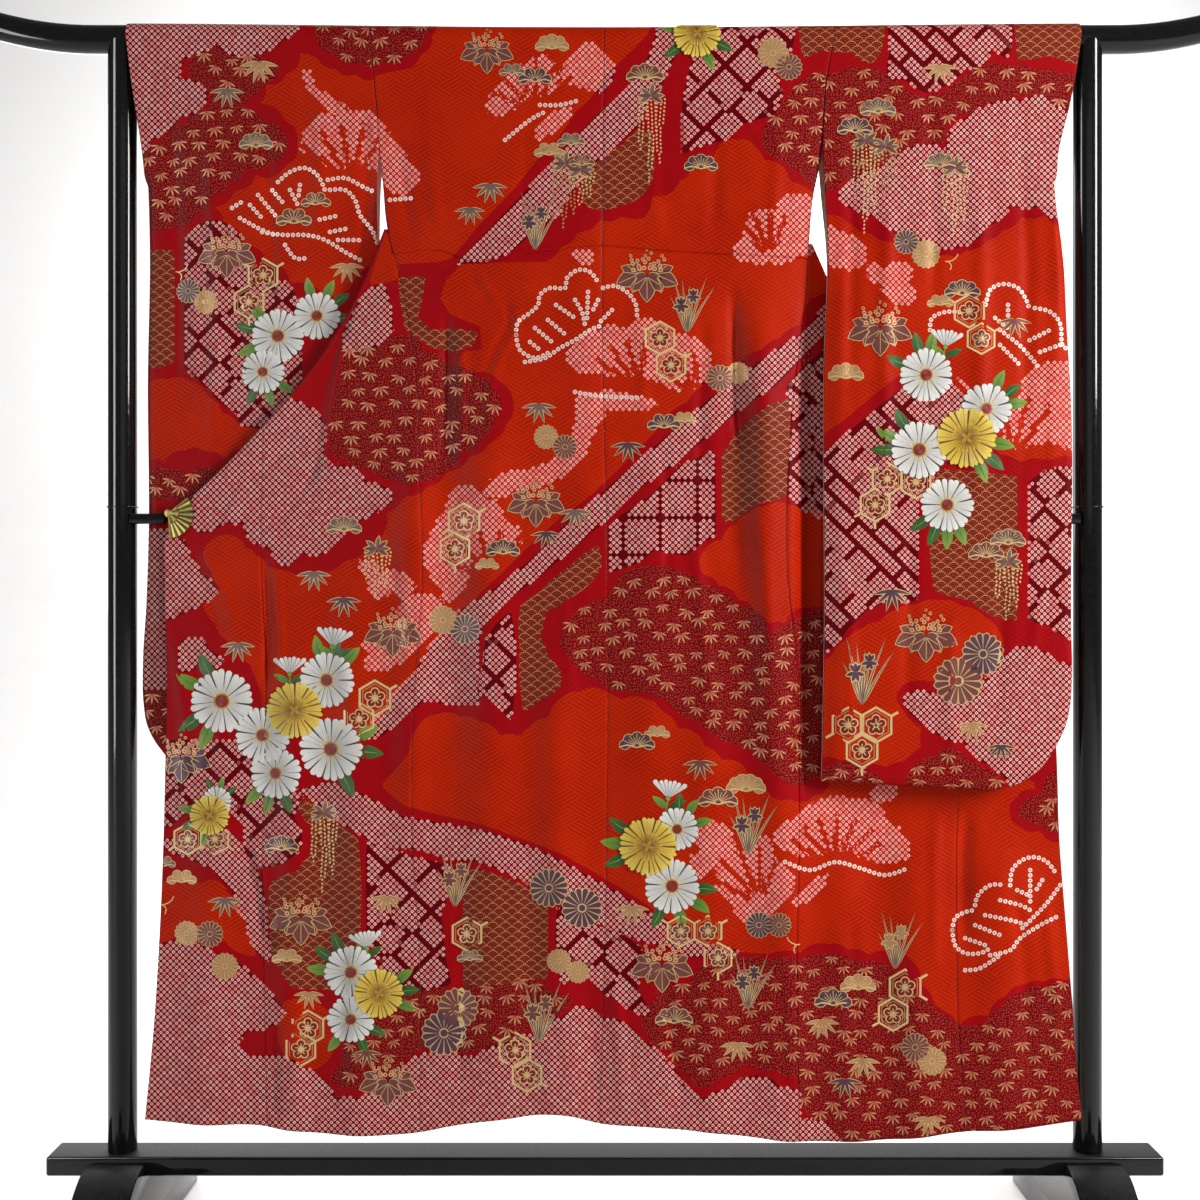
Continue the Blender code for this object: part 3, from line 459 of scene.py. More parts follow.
# Finer creases, listed on the chart: half width in mm, height in steps of CREASE_STEP, then the
# points of the line.
CREASE_STEP = 0.0017
CHART_TOP = 14
CHART_DEPTH = -0.028
CREASES = {
    "body": [
        (3.0, 1.6, (474, 266), (486, 288), (502, 310)), (2.2, -1.2, (470, 268), (480, 290), (494, 312)),
        (2.6, -2.0, (506, 281), (509, 325), (496, 345), (483, 380), (479, 440)),
        (3.5, 1.4, (514, 290), (517, 330), (503, 352), (491, 385), (487, 440)),
        (5.0, -4.0, (447, 300), (446, 380), (444, 470)), (6.0, 3.0, (462, 320), (462, 390), (458, 480)),
        (5.0, -3.2, (262, 545), (266, 620), (263, 700)), (5.0, 2.4, (275, 560), (280, 640), (276, 700)),
        (7.0, -2.6, (238, 826), (254, 890), (268, 963)), (8.5, 2.2, (252, 830), (270, 900), (284, 960)),
        (6.0, -3.0, (276, 1010), (275, 1070), (274, 1130)), (8.0, 3.0, (296, 1000), (298, 1070), (300, 1135)),
        (6.0, -4.0, (733, 275), (736, 400), (742, 470)), (9.0, 1.5, (752, 480), (764, 580), (772, 680)),
        (8.0, -2.2, (705, 300), (700, 420), (704, 520)), (10.0, 2.4, (690, 500), (700, 600), (712, 720)),
        (15.0, -7.0, (814, 270), (809, 400), (808, 560), (806, 700), (806, 810)),
        (14.0, 3.5, (794, 440), (794, 560), (796, 660), (796, 770)),
        (6.0, -2.0, (396, 120), (404, 190), (412, 250)), (8.0, 1.8, (424, 70), (430, 160), (440, 240)),
        (7.0, -1.5, (530, 60), (526, 150), (520, 240)), (9.0, 1.6, (640, 70), (650, 160), (660, 250)),
        (8.0, -1.8, (720, 60), (716, 160), (712, 250)), (8.0, 1.6, (780, 80), (776, 170), (772, 250)),
        (4.0, -1.8, (330, 300), (352, 340), (362, 400)), (4.0, 1.6, (318, 470), (296, 505), (262, 548)),
        (4.5, -2.2, (324, 452), (302, 492), (268, 540)), (6.0, 1.8, (250, 470), (232, 505), (220, 520)),
        (5.0, -1.4, (300, 430), (262, 470), (226, 500)), (6.0, 1.4, (200, 540), (226, 600), (244, 660)),
        (5.0, -1.6, (186, 540), (206, 596), (224, 650)), (7.0, -1.8, (190, 640), (210, 740), (214, 840)),
        (8.0, 2.0, (170, 620), (184, 720), (182, 840)), (7.0, 1.6, (330, 600), (350, 700), (372, 780)),
        (5.0, -1.6, (380, 500), (398, 600), (404, 700)), (8.0, -2.2, (455, 850), (462, 960), (458, 1110)),
        (7.0, -2.4, (590, 980), (594, 1060), (592, 1120)), (9.0, 3.0, (612, 960), (620, 1050), (622, 1130)),
        (7.0, -2.6, (655, 940), (672, 1030), (684, 1120)), (7.0, -2.4, (776, 950), (782, 1050), (784, 1130)),
        (8.0, 2.0, (520, 840), (516, 950), (512, 1110)), (6.0, -2.0, (548, 1000), (560, 1060), (562, 1115)),
        (9.0, -4.0, (972, 800), (966, 860), (964, 960)), (8.0, 2.5, (940, 800), (936, 880), (934, 980)),
        (8.0, -2.0, (850, 900), (856, 1000), (860, 1130)),
        (8.0, -2.4, (1010, 860), (1024, 960), (1030, 1110)),
        (7.0, 2.0, (1044, 880), (1054, 980), (1062, 1100)), (6.0, 1.2, (560, 560), (568, 640), (572, 700)),
        (5.0, -1.6, (662, 420), (668, 520), (664, 640)), (7.0, 1.4, (640, 300), (644, 380), (640, 430)),
        (10.0, -2.0, (350, 860), (344, 960), (340, 1110)), (6.0, -1.4, (410, 560), (414, 640), (408, 720)),
    ],
    "left": [
        (9.0, -1.8, (168, 60), (172, 200), (170, 420)), (10.0, 2.0, (205, 90), (212, 260), (208, 470)),
        (8.0, -1.6, (262, 110), (268, 220), (262, 330)), (10.0, 1.6, (318, 60), (320, 160), (312, 270)),
        (7.0, -2.0, (362, 90), (366, 180), (358, 262)), (8.0, 1.4, (150, 480), (152, 580), (156, 690)),
        (5.0, 1.2, (196, 260), (190, 340), (196, 420)), (5.0, -1.2, (240, 240), (236, 320), (242, 400)),
    ],
    "right": [
        (8.0, -1.8, (856, 90), (850, 240), (848, 420)), (10.0, 2.2, (888, 150), (882, 330), (880, 520)),
        (8.0, -1.6, (930, 60), (934, 190), (928, 340)), (11.0, 2.0, (975, 120), (978, 300), (972, 560)),
        (8.0, -1.8, (1020, 80), (1024, 260), (1018, 500)), (8.0, 1.4, (1050, 140), (1052, 300), (1046, 520)),
        (9.0, -1.8, (910, 480), (906, 600), (902, 740)), (9.0, 1.8, (950, 600), (946, 690), (950, 780)),
        (8.0, -1.6, (1000, 560), (996, 660), (990, 770)), (7.0, 1.4, (845, 560), (848, 660), (846, 770)),
        (5.0, 1.0, (1040, 560), (1030, 640), (1010, 730)),
    ],
}


def smooth(t):
    """A soft step from 0 to 1 as t goes from 0 to 1."""
    t = np.clip(t, 0.0, 1.0)
    return t * t * (3 - 2 * t)


def blend(a, b, t):
    """The number at a share t of the way from a to b."""
    return a + (b - a) * t


def curve(rows, at):
    """A smooth line through the rows (key, value), read at the keys given."""
    rows = sorted(rows)
    keys = np.array([row[0] for row in rows])
    values = np.array([row[1] for row in rows])
    slopes = np.gradient(values, keys)
    at = np.clip(at, keys[0], keys[-1])
    cell = np.clip(np.searchsorted(keys, at) - 1, 0, len(keys) - 2)
    span = keys[cell + 1] - keys[cell]
    t = (at - keys[cell]) / span
    return ((1 + 2 * t) * (1 - t) ** 2 * values[cell] + t * (1 - t) ** 2 * span * slopes[cell]
            + t * t * (3 - 2 * t) * values[cell + 1] - t * t * (1 - t) * span * slopes[cell + 1])


def chart_of(x, y, z, past_x=0.0, past_z=0.0):
    """Where a point of the cloth lies on the chart, or cloth that goes on beyond it by past.
    Over the rail's top the chart is mirrored."""
    unit = UNIT * (1 + y / EYE_DISTANCE)
    across = MIDDLE_X + (x + past_x) / unit
    down = MIDDLE_Y - (z + past_z - EYE_HEIGHT) / unit
    return across, CHART_TOP + np.abs(down - CHART_TOP)


def creased(group, x, z):
    """How far the listed creases of a group stand towards the viewer, in metres."""
    across, down = chart_of(x, np.full_like(x, CHART_DEPTH), z)
    height = np.zeros_like(x)
    for half_width, rise, *line in CREASES[group]:
        width = half_width * 0.001 / UNIT
        near = ((across > min(p[0] for p in line) - 4 * width) & (down > line[0][1] - 30)
                & (across < max(p[0] for p in line) + 4 * width) & (down < line[-1][1] + 30))
        if not near.any():
            continue
        a, d = across[near], down[near]
        lengths = [math.dist(p, q) for p, q in zip(line, line[1:])]
        best, along, passed = np.full(a.shape, 1e9), np.zeros(a.shape), 0.0
        for (px, py), (qx, qy), length in zip(line, line[1:], lengths):
            t = np.clip(((a - px) * (qx - px) + (d - py) * (qy - py)) / length ** 2, 0, 1)
            far = np.hypot(a - px - t * (qx - px), d - py - t * (qy - py))
            along = np.where(far < best, passed + t * length, along)
            best = np.minimum(best, far)
            passed += length
        share = along / passed
        ends = smooth(share / 0.25) * smooth((1 - share) / 0.25)
        height[near] += rise * CREASE_STEP * ends * np.exp(-(best / width) ** 2)
    return height


def fold_height(x, z):
    """How far the solids' own folds stand towards the viewer."""
    height = np.zeros_like(x)
    for x_top, z_top, x_low, z_low, half_width, rise in FOLDS:
        down = (z_top - z) / (z_top - z_low)
        offset = (x - blend(x_top, x_low, np.clip(down, 0, 1))) / half_width
        ends = smooth(down / 0.3) * smooth((1.15 - down) / 0.3)
        height += rise * ends * np.exp(-offset * offset)
    edge = curve(PLEAT_EDGE, z)
    lasts = smooth((1.350 - z) / 0.05) * smooth((z - 1.000) / 0.14)
    beside = smooth((x - edge + 0.004) / 0.008) * smooth((-0.27 - x) / 0.05)
    return height + 0.005 * lasts * beside


def hang_depth(x, z):
    """y of the middle of the cloth that hangs on the viewer's side, as the solids have it."""
    clear = smooth((0.620 - z) / 0.200)
    base = curve(HANG_DEPTH, x) - 0.0150 * clear * smooth((x - 0.30) / 0.2)
    fall = smooth((rail_z(x) - z) / 0.30)
    return blend(-DRAPE_RADIUS, base, fall) - fall * (fold_height(x, z) + creased("body", x, z))


def draped(lies, x, y, z, turn, wound, front_y):
    """Points of a panel and their chart: on the rail where the cloth lies, as given elsewhere.
    turn is 1 at the rail's near side, 0 on top and -1 behind, wound counts the quarter turns
    that the cloth has made from the near side, and front_y is the depth that the chart sees."""
    radius, angle = DRAPE_RADIUS + WALL / 2, turn * math.pi / 2
    past = np.where(lies, wound * math.pi / 2 * DRAPE_RADIUS, 0.0)
    across, down = chart_of(x, np.where(lies, -DRAPE_RADIUS, front_y),
                            np.where(lies, rail_z(x), z), past_z=past)
    return (x, np.where(lies, -radius * np.sin(angle), y),
            np.where(lies, rail_z(x) + radius * np.cos(angle), z), across, down)


# What the pattern's grounds are, as closed lines on the chart. Each shape is a bulge and its
# corners: every side of the line bulges outwards by that share of its length, or by the third
# number of the corner that it starts from, which makes the scallops of clouds.
GROUNDS = {
    "left": {
        "orange": [
            (-.22, [(300, 52, 0), (318, 58), (335, 68), (355, 74), (380, 76, 0), (400, 76, 0),
                    (400, 262, 0), (376, 262, -.1), (350, 288, .1), (325, 298, -.2), (290, 284),
                    (266, 262), (245, 246), (223, 224), (214, 208, -.15), (235, 190), (255, 175),
                    (286, 165), (297, 145), (285, 121), (256, 105), (265, 84), (286, 74)]),
            (.15, [(130, 388, 0), (146, 386), (168, 379), (192, 382), (207, 396), (222, 413),
                   (240, 428), (262, 431, 0), (275, 431, 0), (262, 441, -.2), (242, 449, -.2),
                   (225, 462, -.2), (205, 452, -.2), (185, 451, -.2), (165, 462, -.2),
                   (146, 464, 0), (130, 464, 0)]),
            (.2, [(232, 556), (262, 536), (300, 542), (340, 530), (392, 545, 0), (392, 668, 0),
                  (350, 676), (306, 664), (266, 678), (236, 656), (228, 606)]),
        ],
        "komon": [
            (.2, [(190, 62), (215, 46), (243, 54), (268, 62), (280, 66), (262, 84), (248, 96),
                  (236, 108), (262, 122), (284, 134), (286, 150), (270, 162), (245, 168),
                  (228, 182), (212, 196), (196, 212), (172, 226), (146, 226, 0), (140, 150, 0),
                  (160, 142), (185, 126), (212, 108), (214, 94), (196, 82)]),
            (.2, [(310, 10, 0), (316, 36), (334, 54), (358, 62), (385, 62), (408, 54), (424, 36),
                  (432, 10, 0)]),
            (.2, [(130, 475, 0), (150, 473), (168, 470), (188, 478), (206, 468), (222, 476),
                  (240, 470), (262, 470, 0), (262, 500, 0), (130, 500, 0)]),
            (.2, [(130, 690, 0), (176, 690, 0), (215, 684), (255, 700), (300, 690), (345, 704),
                  (392, 696, 0), (392, 760, 0), (340, 752), (290, 764), (240, 750), (196, 758),
                  (176, 745, 0), (130, 745, 0)]),
        ],
        "waves": [
            (0, [(148, 250), (174, 250), (174, 362), (160, 368), (146, 368)]),
        ],
        "dots": [
            (.12, [(110, 10, 0), (302, 10, 0), (300, 27), (283, 40), (262, 52), (240, 56),
                   (215, 44), (192, 54), (180, 60), (176, 80), (197, 82), (208, 95), (199, 109),
                   (180, 116), (163, 132), (150, 140), (143, 156, 0), (110, 156, 0)]),
            (.2, [(130, 530, 0), (175, 530), (200, 548), (214, 580), (204, 620), (214, 655),
                  (196, 690, 0), (130, 690, 0)]),
            (.2, [(292, 604), (322, 592), (352, 600), (366, 622), (352, 642), (318, 648),
                  (292, 634)]),
            (.1, [(300, 143), (308, 125), (320, 115), (343, 118), (355, 110), (374, 113),
                  (386, 130), (396, 142), (407, 158), (418, 170), (418, 185), (402, 196),
                  (390, 190), (380, 172), (366, 166), (354, 160), (346, 170), (331, 170),
                  (318, 156), (302, 152)]),
            (.05, [(303, 70), (311, 68), (314, 86), (330, 97), (346, 106), (349, 118),
                   (332, 112), (312, 98), (305, 86)]),
        ],
        "crazed": [
            (.1, [(184, 244), (192, 232), (207, 222), (223, 222), (236, 233), (246, 262),
                  (262, 284), (286, 282), (298, 302), (302, 330, 0), (302, 385, 0),
                  (288, 425, 0), (262, 427), (240, 424), (238, 412), (222, 403), (211, 390),
                  (198, 378), (184, 366, 0)]),
        ],
    },
    "body": {
        "orange": [
            (0, [(430, 10), (655, 10), (648, 34), (610, 72, .05), (575, 112, .05), (545, 150),
                 (515, 188), (480, 224), (452, 258), (440, 262), (399, 264), (390, 230),
                 (375, 150), (374, 76), (400, 70, -.2), (420, 55, -.2), (432, 36, -.2)]),
            (0, [(385, 232), (394, 236), (399, 270), (398, 280), (368, 286)]),
            (0, [(470, 264), (512, 262), (545, 262, -.1), (562, 246, -.15), (578, 232, -.15),
                 (600, 220, -.15), (622, 216, -.1), (644, 218, -.1), (652, 196, -.2),
                 (680, 180, -.2), (690, 170), (708, 166), (718, 148, .2), (737, 140, .2),
                 (756, 148, .1), (764, 160, .1), (782, 166, .1), (790, 182, .1), (814, 194),
                 (835, 200), (835, 290), (812, 298, -.1), (800, 325, -.1), (780, 338, -.1),
                 (762, 350, -.1), (742, 360, -.1), (722, 376, -.1), (700, 388, -.1),
                 (688, 402, -.1), (655, 432), (620, 468), (590, 496), (560, 518), (530, 545),
                 (500, 575), (475, 598), (455, 615), (440, 640), (420, 662), (402, 690),
                 (385, 716), (365, 735), (330, 760), (262, 705), (262, 565), (290, 572, -.15),
                 (320, 572, -.15), (345, 560, -.15), (368, 548, -.15), (384, 532, -.15),
                 (386, 512, -.15), (404, 496, -.15), (428, 486, -.15), (446, 472, -.15),
                 (470, 456, -.15), (490, 442, -.15), (506, 424, -.15), (513, 402, -.15),
                 (500, 382, -.15), (478, 372), (456, 368), (462, 352), (482, 350), (480, 326),
                 (468, 322), (450, 314), (440, 298), (446, 280), (462, 264)]),
            (.12, [(203, 552), (212, 540), (232, 535), (246, 548), (257, 556), (266, 562, 0),
                   (266, 705, 0), (250, 664), (236, 646), (214, 622), (203, 604), (224, 590),
                   (211, 570)]),
            (.15, [(700, 566), (704, 551), (722, 540), (736, 524), (748, 514), (764, 507),
                   (790, 505), (803, 512), (830, 512, 0), (830, 606, 0), (798, 608, -.15),
                   (786, 624, -.2), (768, 626, -.2), (754, 611, -.2), (738, 600, -.2),
                   (718, 586, -.2), (706, 576)]),
            (-.15, [(380, 786, 0), (395, 770, 0), (410, 752, .1), (416, 730, .15),
                    (438, 714, .15), (460, 717, .15), (480, 722, .15), (500, 736, .15),
                    (521, 738, .15), (531, 726, .15), (549, 718, .15), (562, 698, .15),
                    (580, 692, .15), (604, 690, 0), (622, 700, .15), (645, 699, .15),
                    (662, 712, .15), (678, 729, .15), (698, 735, .15), (704, 746, .1),
                    (722, 760, .1), (742, 764, .1), (748, 777, .1), (766, 790, -.2),
                    (790, 799, -.2), (815, 795, -.2), (830, 780, 0), (1080, 780, 0),
                    (1080, 975, 0), (1064, 980), (1044, 982), (1026, 984), (1006, 996),
                    (988, 1016), (958, 1026, -.1), (952, 1016, 0), (934, 1004), (920, 985),
                    (913, 962), (895, 954), (868, 955), (848, 950), (828, 944),
                    (800, 953, -.1), (770, 954, 0), (738, 952, 0), (705, 942, 0),
                    (672, 922, 0), (640, 900, 0), (600, 876, 0), (560, 853, 0), (520, 838, 0),
                    (480, 824, 0), (440, 815, 0), (405, 806, 0)]),
            (.1, [(156, 885), (178, 880), (200, 884), (216, 880), (228, 893, .05),
                  (242, 908, .05), (250, 930, .05), (258, 958, 0), (244, 954), (225, 941),
                  (202, 931), (178, 935), (156, 942, 0)]),
            (.1, [(284, 1002), (300, 998), (322, 1006), (336, 1024), (334, 1050), (318, 1068),
                  (300, 1066), (280, 1046)]),
        ],
        "not orange": [
            (.2, [(1010, 815), (1016, 798), (1036, 790), (1040, 770), (1080, 760, 0),
                  (1080, 850, 0), (1062, 842), (1040, 830), (1020, 826)]),
        ],
        "komon": [
            (.2, [(310, 10, 0), (316, 36), (334, 54), (358, 62), (385, 62), (408, 54), (424, 36),
                  (432, 10, 0)]),
            (.12, [(345, 350), (383, 341), (410, 336), (424, 350), (448, 366), (478, 376),
                   (492, 388), (501, 402), (495, 420), (482, 438), (462, 452), (446, 470),
                   (420, 482), (395, 480), (370, 470), (345, 458), (328, 452, 0),
                   (334, 400, 0)]),
            (.12, [(762, 137), (778, 112), (790, 95), (802, 80), (826, 72, 0), (845, 72, 0),
                   (845, 190, 0), (815, 186), (800, 172), (783, 160), (765, 150)]),
            (.1, [(560, 642), (574, 615), (590, 604), (606, 600, 0), (620, 576), (652, 566),
                  (680, 572), (702, 584), (722, 592), (738, 606), (760, 614), (768, 640),
                  (788, 625), (800, 616), (830, 612, 0), (830, 770, 0), (800, 785), (780, 778),
                  (768, 764), (752, 750), (735, 744), (714, 734), (698, 720), (680, 714),
                  (667, 700), (648, 692), (628, 690), (606, 688, 0), (598, 680), (578, 668),
                  (568, 655)]),
            (.1, [(655, 1000), (668, 985), (690, 985), (700, 968), (722, 962), (745, 958),
                  (770, 960), (800, 960), (830, 954), (858, 962), (888, 966), (902, 985),
                  (920, 998), (938, 1012), (958, 1026, 0), (985, 1024), (1002, 1006),
                  (1022, 992), (1044, 986), (1090, 986, 0), (1090, 1160, 0), (850, 1160, 0),
                  (835, 1138), (815, 1118), (800, 1105), (800, 1078), (775, 1070), (745, 1064),
                  (720, 1078), (700, 1088), (688, 1074), (668, 1052), (648, 1036),
                  (642, 1018)]),
            (.1, [(390, 1003), (420, 986), (452, 992), (480, 986), (520, 976), (550, 992),
                  (572, 1000), (560, 1014), (530, 1028), (500, 1040), (470, 1052), (445, 1048),
                  (420, 1048), (400, 1060), (380, 1082), (350, 1088), (330, 1080),
                  (345, 1062), (345, 1045), (372, 1030)]),
            (.1, [(1018, 815), (1024, 802), (1042, 795), (1048, 775), (1080, 770, 0),
                  (1080, 838, 0), (1060, 834), (1040, 824)]),
        ],
        "waves": [
            (.05, [(580, 192), (590, 165), (606, 155), (622, 145), (640, 130), (652, 130),
                   (652, 182), (636, 200), (620, 206), (600, 210), (586, 206)]),
            (0, [(398, 278), (426, 276), (422, 300), (418, 318), (432, 330), (455, 328),
                 (478, 332), (474, 346), (452, 352), (432, 348), (420, 340), (405, 330),
                 (400, 300)]),
            (.03, [(292, 800), (312, 802), (330, 822), (358, 838), (358, 958), (342, 988),
                   (292, 988), (272, 955), (270, 882), (298, 870), (312, 852), (312, 828)]),
            (0, [(463, 870), (484, 870), (522, 884), (548, 904), (548, 978), (500, 985),
                 (463, 985)]),
            (0, [(722, 455), (735, 435), (750, 420), (768, 405), (790, 398), (792, 490),
                 (778, 500), (754, 505), (736, 520), (722, 522)]),
            (.04, [(520, 606), (540, 592), (570, 566), (598, 545), (602, 566), (592, 582),
                   (566, 600), (546, 612), (540, 636), (548, 656), (561, 672), (560, 688),
                   (540, 700), (524, 712), (520, 650)]),
            (.05, [(800, 10), (885, 10), (880, 55), (870, 64), (850, 52), (822, 50),
                   (803, 58)]),
        ],
        "dots": [
            (0, [(455, 264), (490, 228), (530, 186), (562, 150), (602, 110), (628, 88),
                 (652, 50), (660, 10), (700, 10), (690, 40), (672, 62), (662, 85), (648, 100),
                 (640, 125), (612, 150), (592, 166), (572, 192), (560, 214), (530, 236),
                 (505, 256), (480, 262)]),
            (.04, [(384, 283), (394, 330), (378, 346), (345, 352), (343, 336), (365, 292)]),
            (.08, [(170, 500, 0), (285, 395, 0), (310, 407), (326, 425), (322, 452), (332, 466),
                   (352, 467), (366, 482), (388, 489), (394, 500), (376, 512), (360, 520),
                   (346, 530), (336, 545), (316, 556), (300, 552), (290, 566), (277, 562),
                   (271, 550), (262, 545), (249, 541), (244, 523), (225, 522), (214, 530),
                   (200, 533)]),
            (.08, [(140, 530, 0), (184, 540), (190, 556), (201, 573), (215, 585), (217, 597),
                   (204, 602), (184, 612), (172, 619), (140, 620, 0)]),
            (.05, [(178, 650), (182, 640), (200, 637), (210, 650), (225, 662), (215, 668),
                   (200, 662), (190, 672), (180, 672)]),
            (0, [(850, 285), (828, 300), (806, 330), (780, 346), (745, 372), (712, 396),
                 (690, 416), (650, 450), (605, 490), (570, 520), (530, 560), (490, 592),
                 (456, 612), (432, 640), (416, 670), (395, 690), (376, 716), (362, 738),
                 (380, 738), (410, 712), (425, 700), (450, 705), (480, 704), (478, 650),
                 (482, 628), (505, 602), (540, 576), (576, 546), (605, 521), (636, 491),
                 (672, 466), (716, 430), (745, 406), (776, 386), (800, 360), (828, 330)]),
            (0, [(296, 790), (330, 782), (365, 795), (402, 816), (442, 823), (482, 830),
                 (520, 842), (560, 860), (600, 882), (640, 906), (672, 928), (704, 944),
                 (740, 950), (736, 958), (690, 957), (660, 946), (640, 941), (600, 924),
                 (560, 900), (520, 880), (482, 862), (450, 860), (420, 850), (380, 845),
                 (345, 826), (320, 806)]),
            (.08, [(100, 955, 0), (150, 950), (176, 941), (200, 944), (216, 955), (240, 964),
                   (252, 975), (264, 985), (276, 1000), (286, 1015), (272, 1026), (246, 1031),
                   (236, 1044), (250, 1058), (280, 1056), (302, 1066), (322, 1078),
                   (336, 1098), (358, 1099), (382, 1090), (402, 1066), (422, 1054),
                   (446, 1054), (472, 1058), (502, 1044), (532, 1034), (562, 1018),
                   (577, 1007), (597, 1012, 0), (602, 1018), (622, 1021), (642, 1040),
                   (666, 1060), (684, 1085), (702, 1100), (726, 1090), (746, 1077),
                   (772, 1079), (778, 1088), (800, 1092, 0), (800, 1120), (824, 1122),
                   (842, 1145, 0), (842, 1200, 0), (100, 1200, 0)]),
            (.05, [(228, 830), (240, 842), (256, 866), (262, 890), (268, 930), (270, 962),
                   (256, 952), (246, 925), (232, 890), (212, 868), (190, 858), (163, 848),
                   (163, 838), (200, 842)]),
            (.1, [(300, 143), (308, 125), (320, 115), (343, 118), (355, 110), (374, 113),
                  (386, 130), (396, 142), (407, 158), (418, 170), (418, 185), (402, 196),
                  (390, 190), (380, 172), (366, 166), (354, 160), (346, 170), (331, 170),
                  (318, 156), (302, 152)]),
            (.08, [(487, 112), (489, 95), (508, 76), (530, 60), (546, 54), (556, 66),
                   (558, 84), (545, 96), (526, 99), (512, 110), (498, 117)]),
            (.08, [(561, 76), (573, 52), (590, 42), (601, 50), (614, 64), (612, 80), (600, 93),
                   (586, 88), (572, 86)]),
            (.08, [(536, 130), (552, 112), (570, 106), (573, 112), (560, 125), (545, 138),
                   (536, 142)]),
            (.08, [(568, 252), (590, 250), (594, 264), (582, 266)]),
            (.12, [(731, 256), (742, 240), (748, 216), (760, 209), (775, 211), (785, 196),
                   (800, 193), (815, 200), (815, 250), (800, 256), (785, 263), (770, 262),
                   (750, 262)]),
            (.12, [(566, 356), (575, 341), (598, 330), (611, 325), (626, 331), (641, 318),
                   (656, 320), (671, 335), (691, 335), (706, 346), (712, 371), (701, 386),
                   (680, 391), (660, 381), (640, 376), (620, 376), (600, 373), (580, 373)]),
            (.08, [(575, 395), (640, 396), (660, 404), (640, 410), (600, 408), (578, 404)]),
            (.04, [(576, 398), (592, 398), (607, 405), (604, 420), (590, 436), (586, 455),
                   (572, 470), (555, 482), (535, 488), (512, 490), (500, 500), (484, 494),
                   (490, 480), (505, 472), (530, 470), (552, 460), (570, 440), (576, 420)]),
            (.12, [(424, 560), (430, 535), (444, 515), (456, 488), (474, 486), (486, 500),
                   (502, 508), (505, 522), (522, 530), (518, 548), (500, 545), (485, 548),
                   (470, 562), (462, 590), (450, 602), (440, 590), (430, 575)]),
            (.12, [(358, 560), (372, 560), (380, 572), (398, 570), (416, 585), (404, 600),
                   (392, 590), (378, 600), (366, 578)]),
            (.12, [(404, 600), (420, 594), (440, 600), (446, 612), (436, 628), (424, 640),
                   (410, 655), (395, 665), (375, 672), (362, 668), (372, 652), (360, 645),
                   (372, 636), (396, 626)]),
            (.1, [(690, 822), (710, 820), (728, 828), (735, 850), (722, 862), (706, 872),
                  (695, 880), (688, 860), (700, 850)]),
            (.1, [(720, 868), (740, 850), (765, 835), (775, 860), (790, 870), (795, 885),
                  (785, 900), (770, 915), (760, 930), (745, 925), (730, 900), (715, 885)]),
            (.12, [(772, 841), (778, 826), (795, 820), (810, 805), (830, 797), (856, 800),
                   (880, 806), (886, 820), (905, 836), (909, 856), (890, 863), (870, 859),
                   (850, 850), (830, 853), (810, 856), (790, 852)]),
            (.05, [(790, 905), (800, 890), (815, 878), (830, 872), (825, 885), (808, 900),
                   (798, 908)]),
            (.12, [(868, 792), (880, 784), (897, 786), (893, 800), (878, 802)]),
        ],
        "crazed": [
            (0, [(702, 10), (800, 10), (792, 50), (775, 72), (784, 95), (775, 115), (742, 124),
                 (726, 140), (700, 146), (682, 155), (682, 100), (692, 60)]),
            (.05, [(486, 640), (498, 622), (511, 612), (511, 720), (500, 708), (488, 698),
                   (478, 690), (484, 664)]),
            (0, [(608, 530), (620, 516), (650, 496), (682, 464), (715, 450), (716, 535),
                 (700, 545), (685, 556), (655, 550), (641, 562), (609, 573)]),
            (0, [(850, 330), (800, 370), (786, 386), (792, 420), (788, 470), (788, 495),
                 (800, 510), (823, 520), (850, 520)]),
            (0, [(366, 842), (400, 853), (452, 866), (456, 882), (441, 910), (446, 960),
                 (452, 985), (411, 993), (386, 986), (366, 930)]),
            (.05, [(558, 906), (602, 928), (642, 948), (637, 990), (651, 1016), (634, 1012),
                   (614, 998), (598, 990), (585, 970), (561, 985)]),
            (.05, [(163, 740, 0), (262, 740, 0), (300, 800), (292, 820), (262, 832),
                   (240, 822), (225, 805), (200, 800), (163, 830, 0)]),
            (.05, [(246, 822), (290, 815), (302, 830), (300, 850), (285, 862), (262, 868),
                   (246, 852)]),
        ],
    },
    "right": {
        "orange": [
            (-.15, [(820, 214, 0), (842, 216), (853, 224), (872, 234), (892, 242),
                    (915, 248, -.2), (945, 254, -.2), (966, 250), (988, 240), (1002, 230),
                    (1022, 216), (1046, 214), (1057, 226), (1090, 228, 0), (1090, 456, 0),
                    (1070, 456, -.1), (1050, 461, -.1), (1020, 462, -.1), (1000, 455, 0),
                    (985, 430, 0), (960, 395, 0), (935, 360, 0), (912, 368, 0),
                    (890, 382, 0), (862, 405, 0), (842, 422, 0), (820, 436, 0)]),
            (-.1, [(820, 662, 0), (832, 656, .1), (846, 640, .1), (862, 628, .1),
                   (880, 622, .1), (892, 612, .1), (915, 605, .1), (940, 600, .1),
                   (962, 606, .1), (986, 618, .1), (1000, 632, .1), (1004, 650, .1),
                   (985, 672, .1), (962, 688), (930, 682), (905, 684), (896, 696),
                   (905, 712), (922, 728), (922, 748), (905, 762), (885, 768), (862, 764),
                   (840, 760), (820, 758, 0)]),
        ],
        "komon": [
            (.1, [(815, 78, 0), (838, 72), (862, 68), (890, 76), (906, 92), (922, 98),
                  (945, 94), (960, 80), (985, 66), (1010, 66), (1036, 70), (1062, 74),
                  (1090, 80, 0), (1090, 112, 0), (1062, 110), (1042, 96), (1022, 94),
